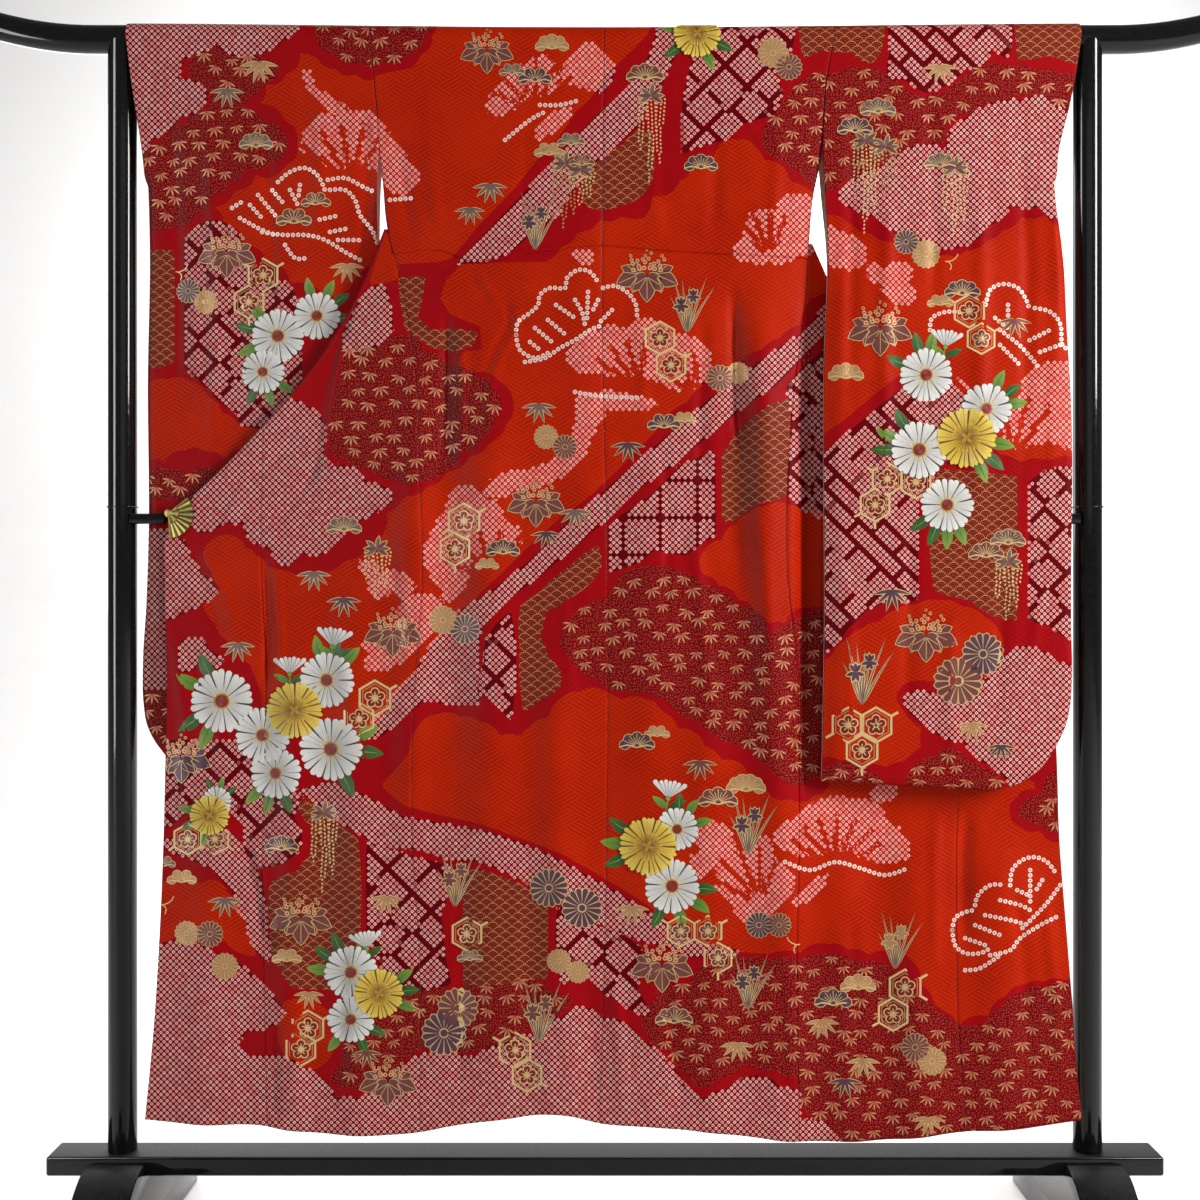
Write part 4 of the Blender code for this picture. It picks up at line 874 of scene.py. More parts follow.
                  (1000, 98), (982, 106), (962, 114), (946, 124), (944, 142), (925, 142),
                  (902, 150), (880, 162), (862, 172), (845, 180), (832, 190),
                  (815, 190, 0)]),
            (.1, [(818, 770, 0), (832, 766), (850, 762), (868, 772), (884, 782), (890, 800, 0),
                  (818, 800, 0)]),
            (.1, [(898, 800, 0), (905, 782), (915, 766), (935, 756), (950, 748), (966, 758),
                  (982, 768), (1000, 778), (1006, 800, 0)]),
        ],
        "waves": [
            (.05, [(800, 10), (885, 10), (880, 55), (870, 64), (850, 52), (822, 50),
                   (803, 58)]),
            (.05, [(1018, 10), (1095, 10), (1078, 64), (1050, 55), (1018, 60)]),
            (.04, [(934, 468, 0), (1017, 476, 0), (1017, 620), (992, 616), (970, 600),
                   (934, 590)]),
        ],
        "dots": [
            (.1, [(837, 196), (846, 184), (860, 177), (880, 168), (900, 154), (920, 144),
                  (946, 150), (950, 131), (966, 118), (986, 106), (1006, 100), (1022, 101),
                  (1040, 95), (1058, 108), (1090, 120, 0), (1090, 216, 0), (1052, 220),
                  (1040, 206), (1010, 205), (1001, 218), (985, 226), (981, 236), (962, 246),
                  (940, 249), (930, 241), (902, 236), (886, 226), (875, 216), (856, 210)]),
            (.08, [(902, 700), (916, 690), (936, 695), (962, 700), (986, 680), (1001, 660),
                   (1020, 646), (1041, 650), (1056, 662), (1074, 666), (1095, 680, 0),
                   (1095, 760, 0), (1050, 768), (1030, 781), (1012, 789), (1004, 776),
                   (990, 766), (976, 756), (964, 742), (945, 738), (926, 726), (912, 715)]),
            (.12, [(826, 226), (842, 232), (862, 240), (868, 255), (860, 268), (842, 268),
                   (826, 262)]),
            (.12, [(870, 262), (886, 270), (900, 260), (912, 268), (908, 282), (916, 300),
                   (900, 306), (888, 300), (880, 285), (866, 272)]),
            (.12, [(1000, 450), (1010, 420), (1020, 395), (1030, 370), (1050, 362),
                   (1075, 365), (1075, 450), (1050, 440), (1030, 445)]),
        ],
        "crazed": [
            (.05, [(890, 10), (1013, 10), (1008, 60), (992, 46), (985, 64), (965, 70),
                   (945, 86), (926, 93), (905, 80), (887, 78), (890, 50)]),
            (.05, [(820, 455, 0), (905, 385, 0), (925, 372), (965, 380, 0), (980, 400, 0),
                   (960, 440, 0), (918, 500, 0), (918, 600), (884, 602), (866, 610),
                   (848, 628), (832, 648), (820, 655, 0)]),
            (.05, [(1029, 482), (1045, 471), (1072, 466), (1095, 466, 0), (1095, 645, 0),
                   (1070, 640), (1050, 626), (1029, 620, 0)]),
        ],
    },
}
# Feet of dotted pines, with the reach and the angles of their needles, 0 being straight up.
NEEDLES = {
    "body": [(640, 392, 12, 52, (-72, -52, -33, -14, 5)), (700, 400, 14, 48, (-50, -28, -8)),
             (835, 868, 12, 52, (-78, -58, -38, -18, 2, 22, 42, 62)),
             (536, 112, 12, 50, (-66, -44, -22, 0, 22, 44)),
             (500, 590, 14, 60, (-60, -40, -20, 0, 20)),
             (770, 258, 10, 44, (-40, -20, 0, 20)),
             (760, 905, 14, 60, (-60, -40, -20, 0, 20))],
    "left": [(352, 186, 12, 62, (-70, -50, -30, -10, 10, 30))],
    "right": [(1012, 462, 14, 66, (-66, -46, -26, -6, 14, 34))],
}


NEEDLE_HALF = 2.4
FIELD_REACH = 40.0


def closed_line(points, bulge):
    """The points of a shape's line, with its sides bulged."""
    corners = [(p[0], p[1], p[2] if len(p) > 2 else bulge) for p in points]
    area = sum(a[0] * b[1] - b[0] * a[1] for a, b in zip(corners, corners[1:] + corners[:1]))
    turn = 1 if area > 0 else -1
    line = []
    for (ax, ay, share), (bx, by, _) in zip(corners, corners[1:] + corners[:1]):
        pieces = 6 if share else 1
        for step in range(pieces):
            t = step / pieces
            out = share * 4 * t * (1 - t) * turn
            line.append((blend(ax, bx, t) + out * (by - ay), blend(ay, by, t) - out * (bx - ax)))
    return np.array(line)


def inside_by(line, x, y):
    """How far points lie inside a closed line, and the direction in which that grows."""
    best = np.full(x.shape, 1e9)
    to_x, to_y = np.zeros(x.shape), np.zeros(x.shape)
    inside = np.zeros(x.shape, bool)
    for (ax, ay), (bx, by) in zip(line, np.roll(line, -1, axis=0)):
        t = np.clip(((x - ax) * (bx - ax) + (y - ay) * (by - ay))
                    / max((bx - ax) ** 2 + (by - ay) ** 2, 1e-9), 0, 1)
        off_x, off_y = x - ax - t * (bx - ax), y - ay - t * (by - ay)
        far = off_x * off_x + off_y * off_y
        nearer = far < best
        best = np.where(nearer, far, best)
        to_x, to_y = np.where(nearer, off_x, to_x), np.where(nearer, off_y, to_y)
        if ay != by:
            inside ^= ((ay > y) != (by > y)) & (x < (bx - ax) * (y - ay) / (by - ay) + ax)
    far = np.sqrt(best)
    sign = np.where(inside, 1.0, -1.0)
    safe = np.maximum(far, 1e-6)
    return sign * far, sign * to_x / safe, sign * to_y / safe


def ground_field(shapes, x, y):
    """How far inside the nearest of several shapes points lie, kept to the field's reach, and
    which way is further in."""
    best = np.full(x.shape, -FIELD_REACH)
    grow_x, grow_y = np.zeros(x.shape), np.zeros(x.shape)
    for bulge, points in shapes:
        line = closed_line(points, bulge)
        low, high = line.min(axis=0) - FIELD_REACH, line.max(axis=0) + FIELD_REACH
        near = np.flatnonzero((x > low[0]) & (x < high[0]) & (y > low[1]) & (y < high[1]))
        depth, to_x, to_y = inside_by(line, x[near], y[near])
        wins = depth > best[near]
        index = near[wins]
        best[index], grow_x[index], grow_y[index] = depth[wins], to_x[wins], to_y[wins]
    return np.minimum(best, FIELD_REACH), grow_x, grow_y


def paint_grounds(mesh, group, across, down, seam_shade_mask):
    """Keeps on each vertex of a panel how far inside each kind of ground it lies, and where the painted shade
    along seams and edges goes.
    """
    shapes = GROUNDS[group]
    orange, gaps, komon, waves, crazed = (
        ground_field(shapes.get(kind, []), across, down)[0]
        for kind in ("orange", "not orange", "komon", "waves", "crazed"))
    dots = ground_field(shapes["dots"] + shapes["crazed"], across, down)
    # The needles of dotted pines: narrow slots that fan out from a foot and stay undotted.
    for foot_x, foot_y, start, end, angles in NEEDLES.get(group, ()):
        for angle in angles:
            way_x, way_y = math.sin(math.radians(angle)), -math.cos(math.radians(angle))
            along = np.clip((across - foot_x) * way_x + (down - foot_y) * way_y, start, end)
            off_x, off_y = across - foot_x - along * way_x, down - foot_y - along * way_y
            far = np.maximum(np.hypot(off_x, off_y), 1e-6)
            outside = far - NEEDLE_HALF
            dots = [np.where(outside < dots[0], new, old) for new, old in
                    zip((outside, off_x / far, off_y / far), dots)]
    for name, columns in (("grounds", (np.minimum(orange, -gaps), komon, waves)), ("dots", dots),
                          ("crazed", (crazed, seam_shade_mask, seam_shade_mask))):
        kept = mesh.attributes.new(name, "FLOAT_VECTOR", "POINT")
        kept.data.foreach_set("vector", np.stack(columns, axis=-1).ravel())


# Silk: crepe woven with a fret figure, dyed in deep red and orange, tie-dyed in small rings,
# printed with grains and waves, and lined with plain pale silk.
def srgb(red, green, blue):
    """A colour given in the 0 to 255 steps of a screen."""
    return tuple((value / 255 / 12.92 if value <= 10 else ((value / 255 + 0.055) / 1.055) ** 2.4)
                 for value in (red, green, blue)) + (1.0,)


# Each dye that varies is a pair, its darkest and its lightest.
DEEP_RED, ORANGE = (srgb(150, 4, 14), srgb(170, 6, 16)), (srgb(180, 29, 1), srgb(208, 47, 4))
FIGURE_IN_RED, FIGURE_IN_ORANGE, CREPE_IN_ORANGE = srgb(104, 0, 8), srgb(128, 7, 1), srgb(136, 12, 1)
GRAINED_RED, GRAINS = srgb(122, 2, 10), srgb(214, 118, 92)
WAVE_RED, WAVE_GOLD = srgb(108, 6, 11), srgb(228, 158, 104)
UNDER_RINGS, RINGS = srgb(98, 0, 9), (srgb(242, 142, 140), srgb(252, 190, 185))
SEAM_SHADE = srgb(52, 0, 4)
LINING_PINK = srgb(196, 172, 158), srgb(212, 192, 178)
FRET_SIZE = 21.0
RING_PITCH = 6.2
CRAZED_SIZE, CRAZED_GAP = 30.0, 1.9
BRICK_LONG, BRICK_HIGH, BRICK_GAP = 46.0, 26.0, 4.4
SQUARE_SIZE, SQUARE_GAP = 36.5, 4.0
GRAIN_PITCH = 2.3
WAVE_WIDTH = 12.8


def joined(x, y):
    """A flat vector of two numbers."""
    return Num.node(x.tree, "ShaderNodeCombineXYZ", None, {0: x, 1: y})


def attribute(tree, name):
    """The three numbers of an attribute of the mesh."""
    return split(Num.node(tree, "ShaderNodeAttribute", {"attribute_name": name}, output=1))


def off_middle(number):
    """How far a number is from the middle of its unit step: 1 at the step's ends, 0 midway."""
    return abs(number.fract() - 0.5) * 2


def wave_arcs(x, y, wide):
    """Concentric arcs of overlapping waves: how far from the middle of the lowest wave that a
    point lies in, in shares of its radius."""
    radius, rise = wide / 2, wide * 0.37
    lowest = ((y + radius) / rise).floor()
    far = None
    for back in (2, 1, 0):
        row = lowest - back
        shift = (row * 0.5).fract()
        dx = ((x / wide + shift).fract() - 0.5) * wide
        dy = row * rise - y
        reach = (dx * dx + dy * dy).root() / radius
        far = reach if far is None else far + (reach - far) * (1 - reach.over(1.0, 0.01))
    return far


def silk_material():
    """The face of the cloth, with every ground of the pattern."""
    made, tree, shader = new_material("silk", Specular_IOR_Level=0.05)
    chart = Num.node(tree, "ShaderNodeUVMap", {"uv_map": "chart"})
    x, y, _ = split(chart)
    unsteady = (noise(tree, chart, 0.55, 2.0) - 0.5) * 1.5
    orange, komon, waves = attribute(tree, "grounds")
    inside, grow_x, grow_y = attribute(tree, "dots")
    crazed, seam_shade_mask, _ = attribute(tree, "crazed")
    in_orange = (orange + unsteady).over(0.0, 0.5)
    in_komon = (komon + unsteady).over(0.0, 0.5)
    in_waves = (waves + unsteady * 0.6).over(0.0, 0.5)

    # The woven figure: bars in a basket of diagonal cells, a little darker and raised.
    p, q = (x * 0.577 + y) / FRET_SIZE, (x * 0.577 - y) / FRET_SIZE
    odd = ((p.floor() + q.floor()) * 0.5).fract().over(0.25, 0.02)
    bars = odd * abs((q * 5).fract() - 0.5) + (1 - odd) * abs((p * 5).fract() - 0.5)
    woven_in = noise(tree, chart, 0.020, 2.0).over(0.50, 0.22)
    figure = bars.over(0.27, 0.16) * (0.5 + woven_in * 0.5)

    # Tied rings on a diagonal lattice. A ring is there only where its middle is in the ground.
    a, b = (x + y) / RING_PITCH, (x - y) / RING_PITCH
    la, lb = a.fract() - 0.5, b.fract() - 0.5
    back_x, back_y = (la + lb) * (-RING_PITCH / 2), (lb - la) * (RING_PITCH / 2)
    there = (inside + grow_x * back_x + grow_y * back_y).over(0.0, 0.05)
    middle_x, middle_y = x + back_x, y + back_y
    turned = joined((middle_x + middle_y) * 0.7071, (middle_x - middle_y) * 0.7071)
    crack = Num.node(tree, "ShaderNodeTexVoronoi",
                     {"voronoi_dimensions": "2D", "feature": "DISTANCE_TO_EDGE"},
                     {"Vector": turned, "Scale": 1 / CRAZED_SIZE, "Randomness": 0.35})
    in_crazed = (crazed + grow_x * back_x + grow_y * back_y).over(-1.0, 0.05)
    # On the right sleeve the rings are tied in bricks on the slant, elsewhere in crazed fields.
    brick_x, brick_y = (middle_x + middle_y) / BRICK_LONG, (middle_x - middle_y) / BRICK_HIGH
    course = (brick_y.floor() * 0.5).fract()
    joint = off_middle(brick_x + course).over(1 - BRICK_GAP / BRICK_LONG, 0.02)
    mortar = joint.most(off_middle(brick_y).over(1 - BRICK_GAP / BRICK_HIGH, 0.02))
    bricked = x.over(815.0, 2.0) * (1 - y.over(655.0, 2.0)) * (1 - x.over(1015.0, 2.0))
    gap = mix_number(bricked, 1 - crack.over(CRAZED_GAP / CRAZED_SIZE, 0.01), mortar)
    # Between the middle's long band and its waves they stand in squares.
    squared = x.over(600.0, 2.0) * (1 - x.over(722.0, 2.0)) * y.over(440.0, 2.0)
    squared = squared * (1 - y.over(584.0, 2.0))
    bars_between = off_middle((middle_x - 660) / SQUARE_SIZE).most(
        off_middle((middle_y - 481) / SQUARE_SIZE))
    gap = mix_number(squared, gap, bars_between.over(1 - SQUARE_GAP / SQUARE_SIZE, 0.02))
    there = there * (1 - in_crazed * gap)
    far = (abs(la) ** 3.2 + abs(lb) ** 3.2) ** (1 / 3.2)
    ring = far.over(0.13, 0.06) * (1 - far.over(0.36, 0.05)) * there
    tone = Num.node(tree, "ShaderNodeTexWhiteNoise", {"noise_dimensions": "2D"},
                    {"Vector": joined(a.floor(), b.floor())})

    # Printed grains, and waves of gold lines.
    grains = Num.node(tree, "ShaderNodeTexVoronoi", {"voronoi_dimensions": "2D"},
                      {"Vector": chart, "Scale": 1 / GRAIN_PITCH, "Randomness": 0.85})
    grain = 1 - grains.over(0.20, 0.16)
    arcs = wave_arcs(x, y, WAVE_WIDTH)
    outer = 1 - abs(arcs - 0.95).over(0.040, 0.03)
    inner = 1 - abs((arcs * 3.4 + 0.3).fract() - 0.5).over(0.09, 0.08)
    arc = outer.most(inner * 0.40)

    # One dye over another, from the ground's red to the tied rings; over them all, a painted shade
    # along the seams and the panels' other edges.
    patchy = noise(tree, chart, 0.011, 3.0)
    weave = noise(tree, chart, 1.6, 3.0, 0.65)
    red = mix(figure * 0.18, mix(patchy, *DEEP_RED), FIGURE_IN_RED)
    flame = mix(weave.over(0.52, 0.16) * 0.28, mix(patchy, *ORANGE), CREPE_IN_ORANGE)
    colour = mix(in_orange, red, mix(figure * 0.54, flame, FIGURE_IN_ORANGE))
    colour = mix(in_komon * grain * 0.46, mix(in_komon, colour, GRAINED_RED), GRAINS)
    colour = mix(in_waves, colour, mix(arc * 0.85, WAVE_RED, WAVE_GOLD))
    in_dots = (inside + unsteady * 0.5).over(0.0, 0.5) * (1 - (orange - 2).over(0.0, 0.5))
    colour = mix(ring, mix(in_dots, colour, UNDER_RINGS), mix(tone, *RINGS))
    colour = mix(seam_shade_mask.over(0.75, 0.5) * 0.65, colour, SEAM_SHADE)
    rumpled = noise(tree, chart, 0.035, 4.0, 0.6)
    height = weave * 0.5 + figure * 0.5 * (1 - in_dots) + ring * 1.2 + rumpled * 5.0
    feed(shader, Base_Color=colour,
         Roughness=0.50 - figure * 0.10 + ring * 0.08 - in_waves * arc * 0.12,
         Normal=bump(height, 0.0006, 0.5))
    return made


def lining_material():
    """The plain back of the cloth."""
    made, tree, shader = new_material("silk lining", Sheen_Weight=0.2, Sheen_Roughness=0.4)
    spot = Num.node(tree, "ShaderNodeTexCoord", output=3)
    cloudy = noise(tree, spot, 9.0, 3.0)
    grain = noise(tree, spot, 900.0, 2.0)
    feed(shader, Base_Color=mix(cloudy, *LINING_PINK),
         Roughness=0.45 + grain * 0.15, Normal=bump(grain, 0.0003, 0.4))
    return made


silk, lining = silk_material(), lining_material()


def steps(first, last, size):
    """Even steps from first to last, none longer than size."""
    return list(np.linspace(first, last, max(2, math.ceil(abs(last - first) / size) + 1)))


panels = {}
SEAM_DIP = 0.0010
SEAM_HALF_WIDTH = 0.0016


def panel(name, node, columns, rows, place, flip, group, wall=LINING_DEPTH):
    """A cloth panel: a flat grid, bent so that column u and row v go to place(u, v), the outer
    face, and given a thickness whose inner side is the lining."""
    bm = bmesh.new()
    bmesh.ops.create_grid(bm, x_segments=len(columns) - 1, y_segments=len(rows) - 1, size=0.5)
    corners = np.array([vert.co for vert in bm.verts])
    column = np.rint((corners[:, 0] + 0.5) * (len(columns) - 1)).astype(int)
    row = np.rint((corners[:, 1] + 0.5) * (len(rows) - 1)).astype(int)
    x, y, z, across, down = place(np.array(columns)[column], np.array(rows)[row])
    chart_map = bm.loops.layers.uv.new("chart")
    for vert, px, py, pz, a, d in zip(bm.verts, x, y, z, across, down):
        vert.co = (px, py, pz)
        for loop in vert.link_loops:
            loop[chart_map].uv = (a, d)
    if flip:
        bmesh.ops.reverse_faces(bm, faces=bm.faces[:])
    bm.normal_update()
    panels[name] = [np.array([vert.co for vert in bm.verts]),
                    np.array([vert.normal for vert in bm.verts]),
                    np.array([[corner.index for corner in face.verts] for face in bm.faces]),
                    across, down]
    piece = finished(name, bm, silk, "silk", node, smooth_angle=0)
    piece.data.materials.append(lining)
    # Its first and last columns, at seams and free edges alike, take a painted shade line in the silk.
    seam_shade_mask = np.isin(column, (0, len(columns) - 1)).astype(float)
    paint_grounds(piece.data, group, across, down, seam_shade_mask)
    thick = piece.modifiers.new("lining", "SOLIDIFY")
    thick.thickness = wall
    thick.offset = -1.0
    thick.material_offset = 1
    thick.material_offset_rim = 0


def seam_dip(x, *lines):
    """How much cloth draws in where it is sewn, along the lines given."""
    return SEAM_DIP * sum(np.exp(-np.abs(x - line) / SEAM_HALF_WIDTH) for line in lines)


# The backs: two straight lengths, over the rail and down to the hem, sewn together down the
# middle and tucked at the waist, where the upper part laps over the lower one.
# The lip of the tuck, as the columns height, and how far it stands out.
LIP = [(0.009, 0.0012), (0.006, 0.0019), (0.0035, 0.0022), (0.0018, 0.0022), (0.0008, 0.0018),
       (0.0002, 0.0010), (0.0, 0.0002), (-0.0008, -0.0006), (-0.0025, -0.0004), (-0.006, 0.0)]


def back_panel(side, label):
    """One back. Rows -1 to 1 lie on the rail, 1 to 2 over the tuck, 2 to 3 are its lip and 3 to
    4 hang to the hem."""
    outer_rows = ARMHOLE[side] + BODY_SLIT[side][1:] + SIDE_SEAM[side][1:]
    lip_rows = np.linspace(0, 1, len(LIP))

    def place(u, v):
        top = rail_z(blend(0.0, side * SHOULDER_X, u))
        tuck = curve(TUCK, side * blend(0.003, 0.295, u))
        lip_z, lip_rise = np.array(LIP).T
        low = curve(HEM, blend(-0.008, SIDE_SEAM[side][-1][1], u))
        z = np.where(v < 2, blend(top, tuck + lip_z[0], np.clip(v - 1, 0, 1)),
                     np.where(v < 3, tuck + np.interp(v - 2, lip_rows, lip_z),
                              blend(tuck + lip_z[-1], low, np.clip(v - 3, 0, 1))))
        rise = np.interp(v - 2, lip_rows, lip_rise)
        rise = np.where(v < 2, 0.0012 * smooth(1 - (2 - v) / 0.3), np.where(v < 3, rise, 0.0))
        inner = curve(CENTRE_SEAM, z) + side * SEAM_GAP / 2
        outer = curve(outer_rows, z) - side * SEAM_GAP / 2
        x = blend(inner, outer, u)
        below = smooth((rail_z(x) - z) / 0.1)
        y = hang_depth(x, z) - WALL / 2 + (seam_dip(x, inner, outer) - rise) * below
        return draped(v <= 1, x, y, z, v, 1 - v, y)

    edge = [0.0, 0.006, 0.014]
    columns = edge + steps(0.03, 0.97, CELL / 0.27) + [1 - e for e in reversed(edge)]
    rows = (steps(-1, 1, 0.08) + steps(1, 2, CELL / 0.31)[1:] + list(2 + lip_rows[1:])
            + steps(3, 4, CELL / 1.21)[1:])
    name = "back_" + label
    panel(name + "_silk", name, columns, rows, place, side > 0, "body")


for side, label in SIDES:
    back_panel(side, label)

# The fronts and the overlap panels: drawn out sideways below the line where they turn back on
# themselves, and hanging from there to the hem. Each is cut from the same straight lengths.
FOLD_RADIUS = 0.0045


def turn_height(side, inner_rows, outer_rows, u, z_low, z_high):
    """The height at which column u of a panel meets the turned line, found by halving."""
    low, high = np.full_like(u, z_low), np.full_like(u, z_high)
    for _ in range(40):
        middle = (low + high) / 2
        panel_x = blend(curve(inner_rows, middle), curve(outer_rows, middle), u)
        inside = side * (curve(TURN[side], middle) - panel_x) > 0
        low, high = np.where(inside, middle, low), np.where(inside, high, middle)
    return (low + high) / 2


def lower_panel(name, side, inner_rows, outer_rows, z_low, z_high, outer_gap, wide):
    """A front or an overlap panel. Rows -1 to 0 turn over the line and 0 to 1 hang to the hem."""
    def place(u, v):
        z_turn = turn_height(side, inner_rows, outer_rows, u, z_low, z_high)
        low = curve(HEM, blend(inner_rows[-1][1], outer_rows[-1][1], u))
        z = blend(z_turn, low, np.clip(v, 0, 1))
        inner = curve(inner_rows, z) + side * SEAM_GAP / 2
        outer = curve(outer_rows, z) - side * outer_gap / 2
        x = blend(inner, outer, u)
        y = hang_depth(x, z)
        slope_x = (curve(TURN[side], z_turn - 0.01) - curve(TURN[side], z_turn + 0.01)) / 0.02
        length = np.sqrt(slope_x ** 2 + 1)
        out_x, out_z = side / length, side * slope_x / length
        radius = blend(0.0016, FOLD_RADIUS, smooth((z_turn - TURN[side][-1][0]) / 0.10))
        angle = np.clip(-v, 0, 1) * math.pi
        reach = (radius + WALL / 2) * np.sin(angle)
        turned = v < 0
        turned_y = y + radius - (radius + WALL / 2) * np.cos(angle)
        sewn = (inner, outer) if outer_gap else (inner,)
        hung_y = y - WALL / 2 + seam_dip(x, *sewn)
        past = np.where(turned, radius * angle, 0.0)
        across, down = chart_of(x, y, z, out_x * past, out_z * past)
        return (np.where(turned, x + out_x * reach, x), np.where(turned, turned_y, hung_y),
                np.where(turned, z + out_z * reach, z), across, down)

    edge = [0.0, 0.0015 / wide, 0.0035 / wide]
    columns = edge + steps(0.007 / wide, 1 - 0.007 / wide, CELL / wide)
    columns += [1 - e for e in reversed(edge)]
    rows = steps(-1, 0, 0.2) + steps(0, 1, CELL / 1.1)[1:]
    panel(name + "_silk", name, columns, rows, place, side > 0, "body")


for side, label in SIDES:
    lower_panel("front_" + label, side, SIDE_SEAM[side], OKUMI_SEAM[side],
                OKUMI_SEAM[side][0][0] - 0.02, SIDE_SEAM[side][0][0], SEAM_GAP, 0.22)
    lower_panel("okumi_" + label, side, OKUMI_SEAM[side], OKUMI_EDGE[side],
                OKUMI_EDGE[side][0][0], OKUMI_SEAM[side][0][0] + 0.02, 0.0, 0.14)

# The collar: one strip folded lengthwise, sewn to the fronts' edges and round the neck. Behind
# it hang the hidden stretches of the fronts, from the rail down to the turned line. Its columns
# are x and height of the outer edge, the same of the inner edge, and y at the left and the right.
COLLAR = [
    (0.548, 1.054, 0.521, 1.006, -0.0115, -0.0030),
    (0.500, 1.086, 0.468, 1.041, -0.0112, -0.0025),
    (0.420, 1.150, 0.381, 1.111, -0.0100, -0.0015),
    (0.330, 1.245, 0.286, 1.212, -0.0068, 0.0005),
    (0.250, 1.352, 0.202, 1.325, 0.0030, 0.0060),
    (0.182, 1.475, 0.130, 1.456, 0.0110, 0.0120),
    (0.127, 1.600, 0.074, 1.587, 0.0165, 0.0170),
    (0.0905, 1.699, 0.042, 1.652, 0.0209, 0.0209),
]
COLLAR_WALL = 0.003
COLLAR_CLOTH = 0.0024
FORK = 0.42
NECK_HALF = 0.0905
NECK_LOW = 1.646
TURN_GAP = 0.0018
HIDDEN_DEPTH = -0.02


def collar_line(side, at, column):
    """x, z and y of the collar's outer (0) or inner (2) edge; at is 0 at its end, 1 at the neck."""
    marks = np.linspace(0, 1, len(COLLAR))
    x, z, y = (curve([(mark, row[k]) for mark, row in zip(marks, COLLAR)], at)
               for k in (column, column + 1, 4 if side < 0 else 5))
    return side * x, z, y


def hidden_front(side, label):
    """The stretch of a front behind the garment: column 0 follows the armhole and then, below
    the fork, the turned line, and column 1 follows the collar."""
    fork_z, turn_low = TURN[side][0][0], TURN[side][-1][0] + 0.012

    def place(u, v):
        above = np.clip(v / FORK, 0, 1)
        below = np.clip((v - FORK) / (1 - FORK), 0, 1)
        top = rail_z(side * SHOULDER_X) - 0.0006
        z_edge = np.where(v < FORK, blend(top, fork_z, above), blend(fork_z, turn_low, below))
        arm_x = curve(ARMHOLE[side] + BODY_SLIT[side][1:], z_edge)
        x_edge = np.where(v < FORK, arm_x, curve(TURN[side], z_edge)) - side * TURN_GAP
        turned_y = hang_depth(x_edge, z_edge) + 2 * FOLD_RADIUS
        y_edge = np.where(v < FORK, blend(DRAPE_RADIUS, turned_y, smooth(above)), turned_y)
        neck_x, neck_z, neck_y = collar_line(side, 1 - v, 0)
        rail_drop = rail_z(side * blend(SHOULDER_X, NECK_HALF, u)) - 0.0006
        x = blend(x_edge, neck_x + side * SEAM_GAP, u)
        z = np.where(v == 0, rail_drop, blend(z_edge, neck_z + SEAM_GAP, u))
        sway = 0.006 * np.sin(u * math.pi * 3) * smooth(v / 0.3) * (1 - smooth((v - 0.5) / 0.4))
        y = blend(y_edge, neck_y, smooth(u)) + sway * np.sin(u * math.pi)
        wrinkle = 0.0011 * np.sin(u * 23 + 9 * v + 2 * np.sin(7 * v)) * np.sin(u * math.pi)
        y += wrinkle * smooth(v / 0.2) + WALL / 2
        across, down = chart_of(x, np.full_like(x, HIDDEN_DEPTH), z)
        return x, y, z, across, down

    columns, rows = steps(0, 1, 0.030), steps(0, 1, 0.0115)
    name = "front_" + label + "_inner"
    panel(name + "_silk", name, columns, rows, place, side > 0, "body")


def collar():
    """The collar, from its left end round the neck to its right one, as rows -2 to 2."""
    def place(u, v):
        side = np.where(v < 0, -1, 1)
        at = np.clip(2 - np.abs(v), 0, 1)
        (x_out, z_out, y), (x_in, z_in, _) = (
            [np.where(side < 0, left, right) for left, right in
             zip(collar_line(-1, at, column), collar_line(1, at, column))] for column in (0, 2))
        neck = np.clip(np.abs(v), 0, 1)
        at_neck = np.abs(v) < 1
        x_out = np.where(at_neck, v * (NECK_HALF - 0.0004), x_out - side * 0.0002)
        x_in = np.where(at_neck, v * COLLAR[-1][2], x_in)
        z_out = np.where(np.abs(v) <= 1, rail_z(x_out) - 0.0008, z_out)
        z_in = np.where(at_neck, blend(NECK_LOW, COLLAR[-1][3], neck ** 2), z_in)
        y = np.where(at_neck, DRAPE_RADIUS, y)
        round_over = 1 - np.abs(2 * u - 1) ** 6
        y = y + 0.0007 + COLLAR_WALL * (round_over - 0.5)
        x, z = blend(x_out, x_in, u), blend(z_out, z_in, u)
        across, down = chart_of(x, np.full_like(x, HIDDEN_DEPTH), z)
        return x, y, z, across, down

    columns = [0.0, 0.02, 0.05, 0.1, 0.2, 0.35, 0.5, 0.65, 0.8, 0.9, 0.95, 0.98, 1.0]
    rows = steps(-2, 2, 0.011)
    panel("collar_silk", "collar", columns, rows, place, True, "body", COLLAR_CLOTH)


for side, label in SIDES:
    hidden_front(side, label)
collar()

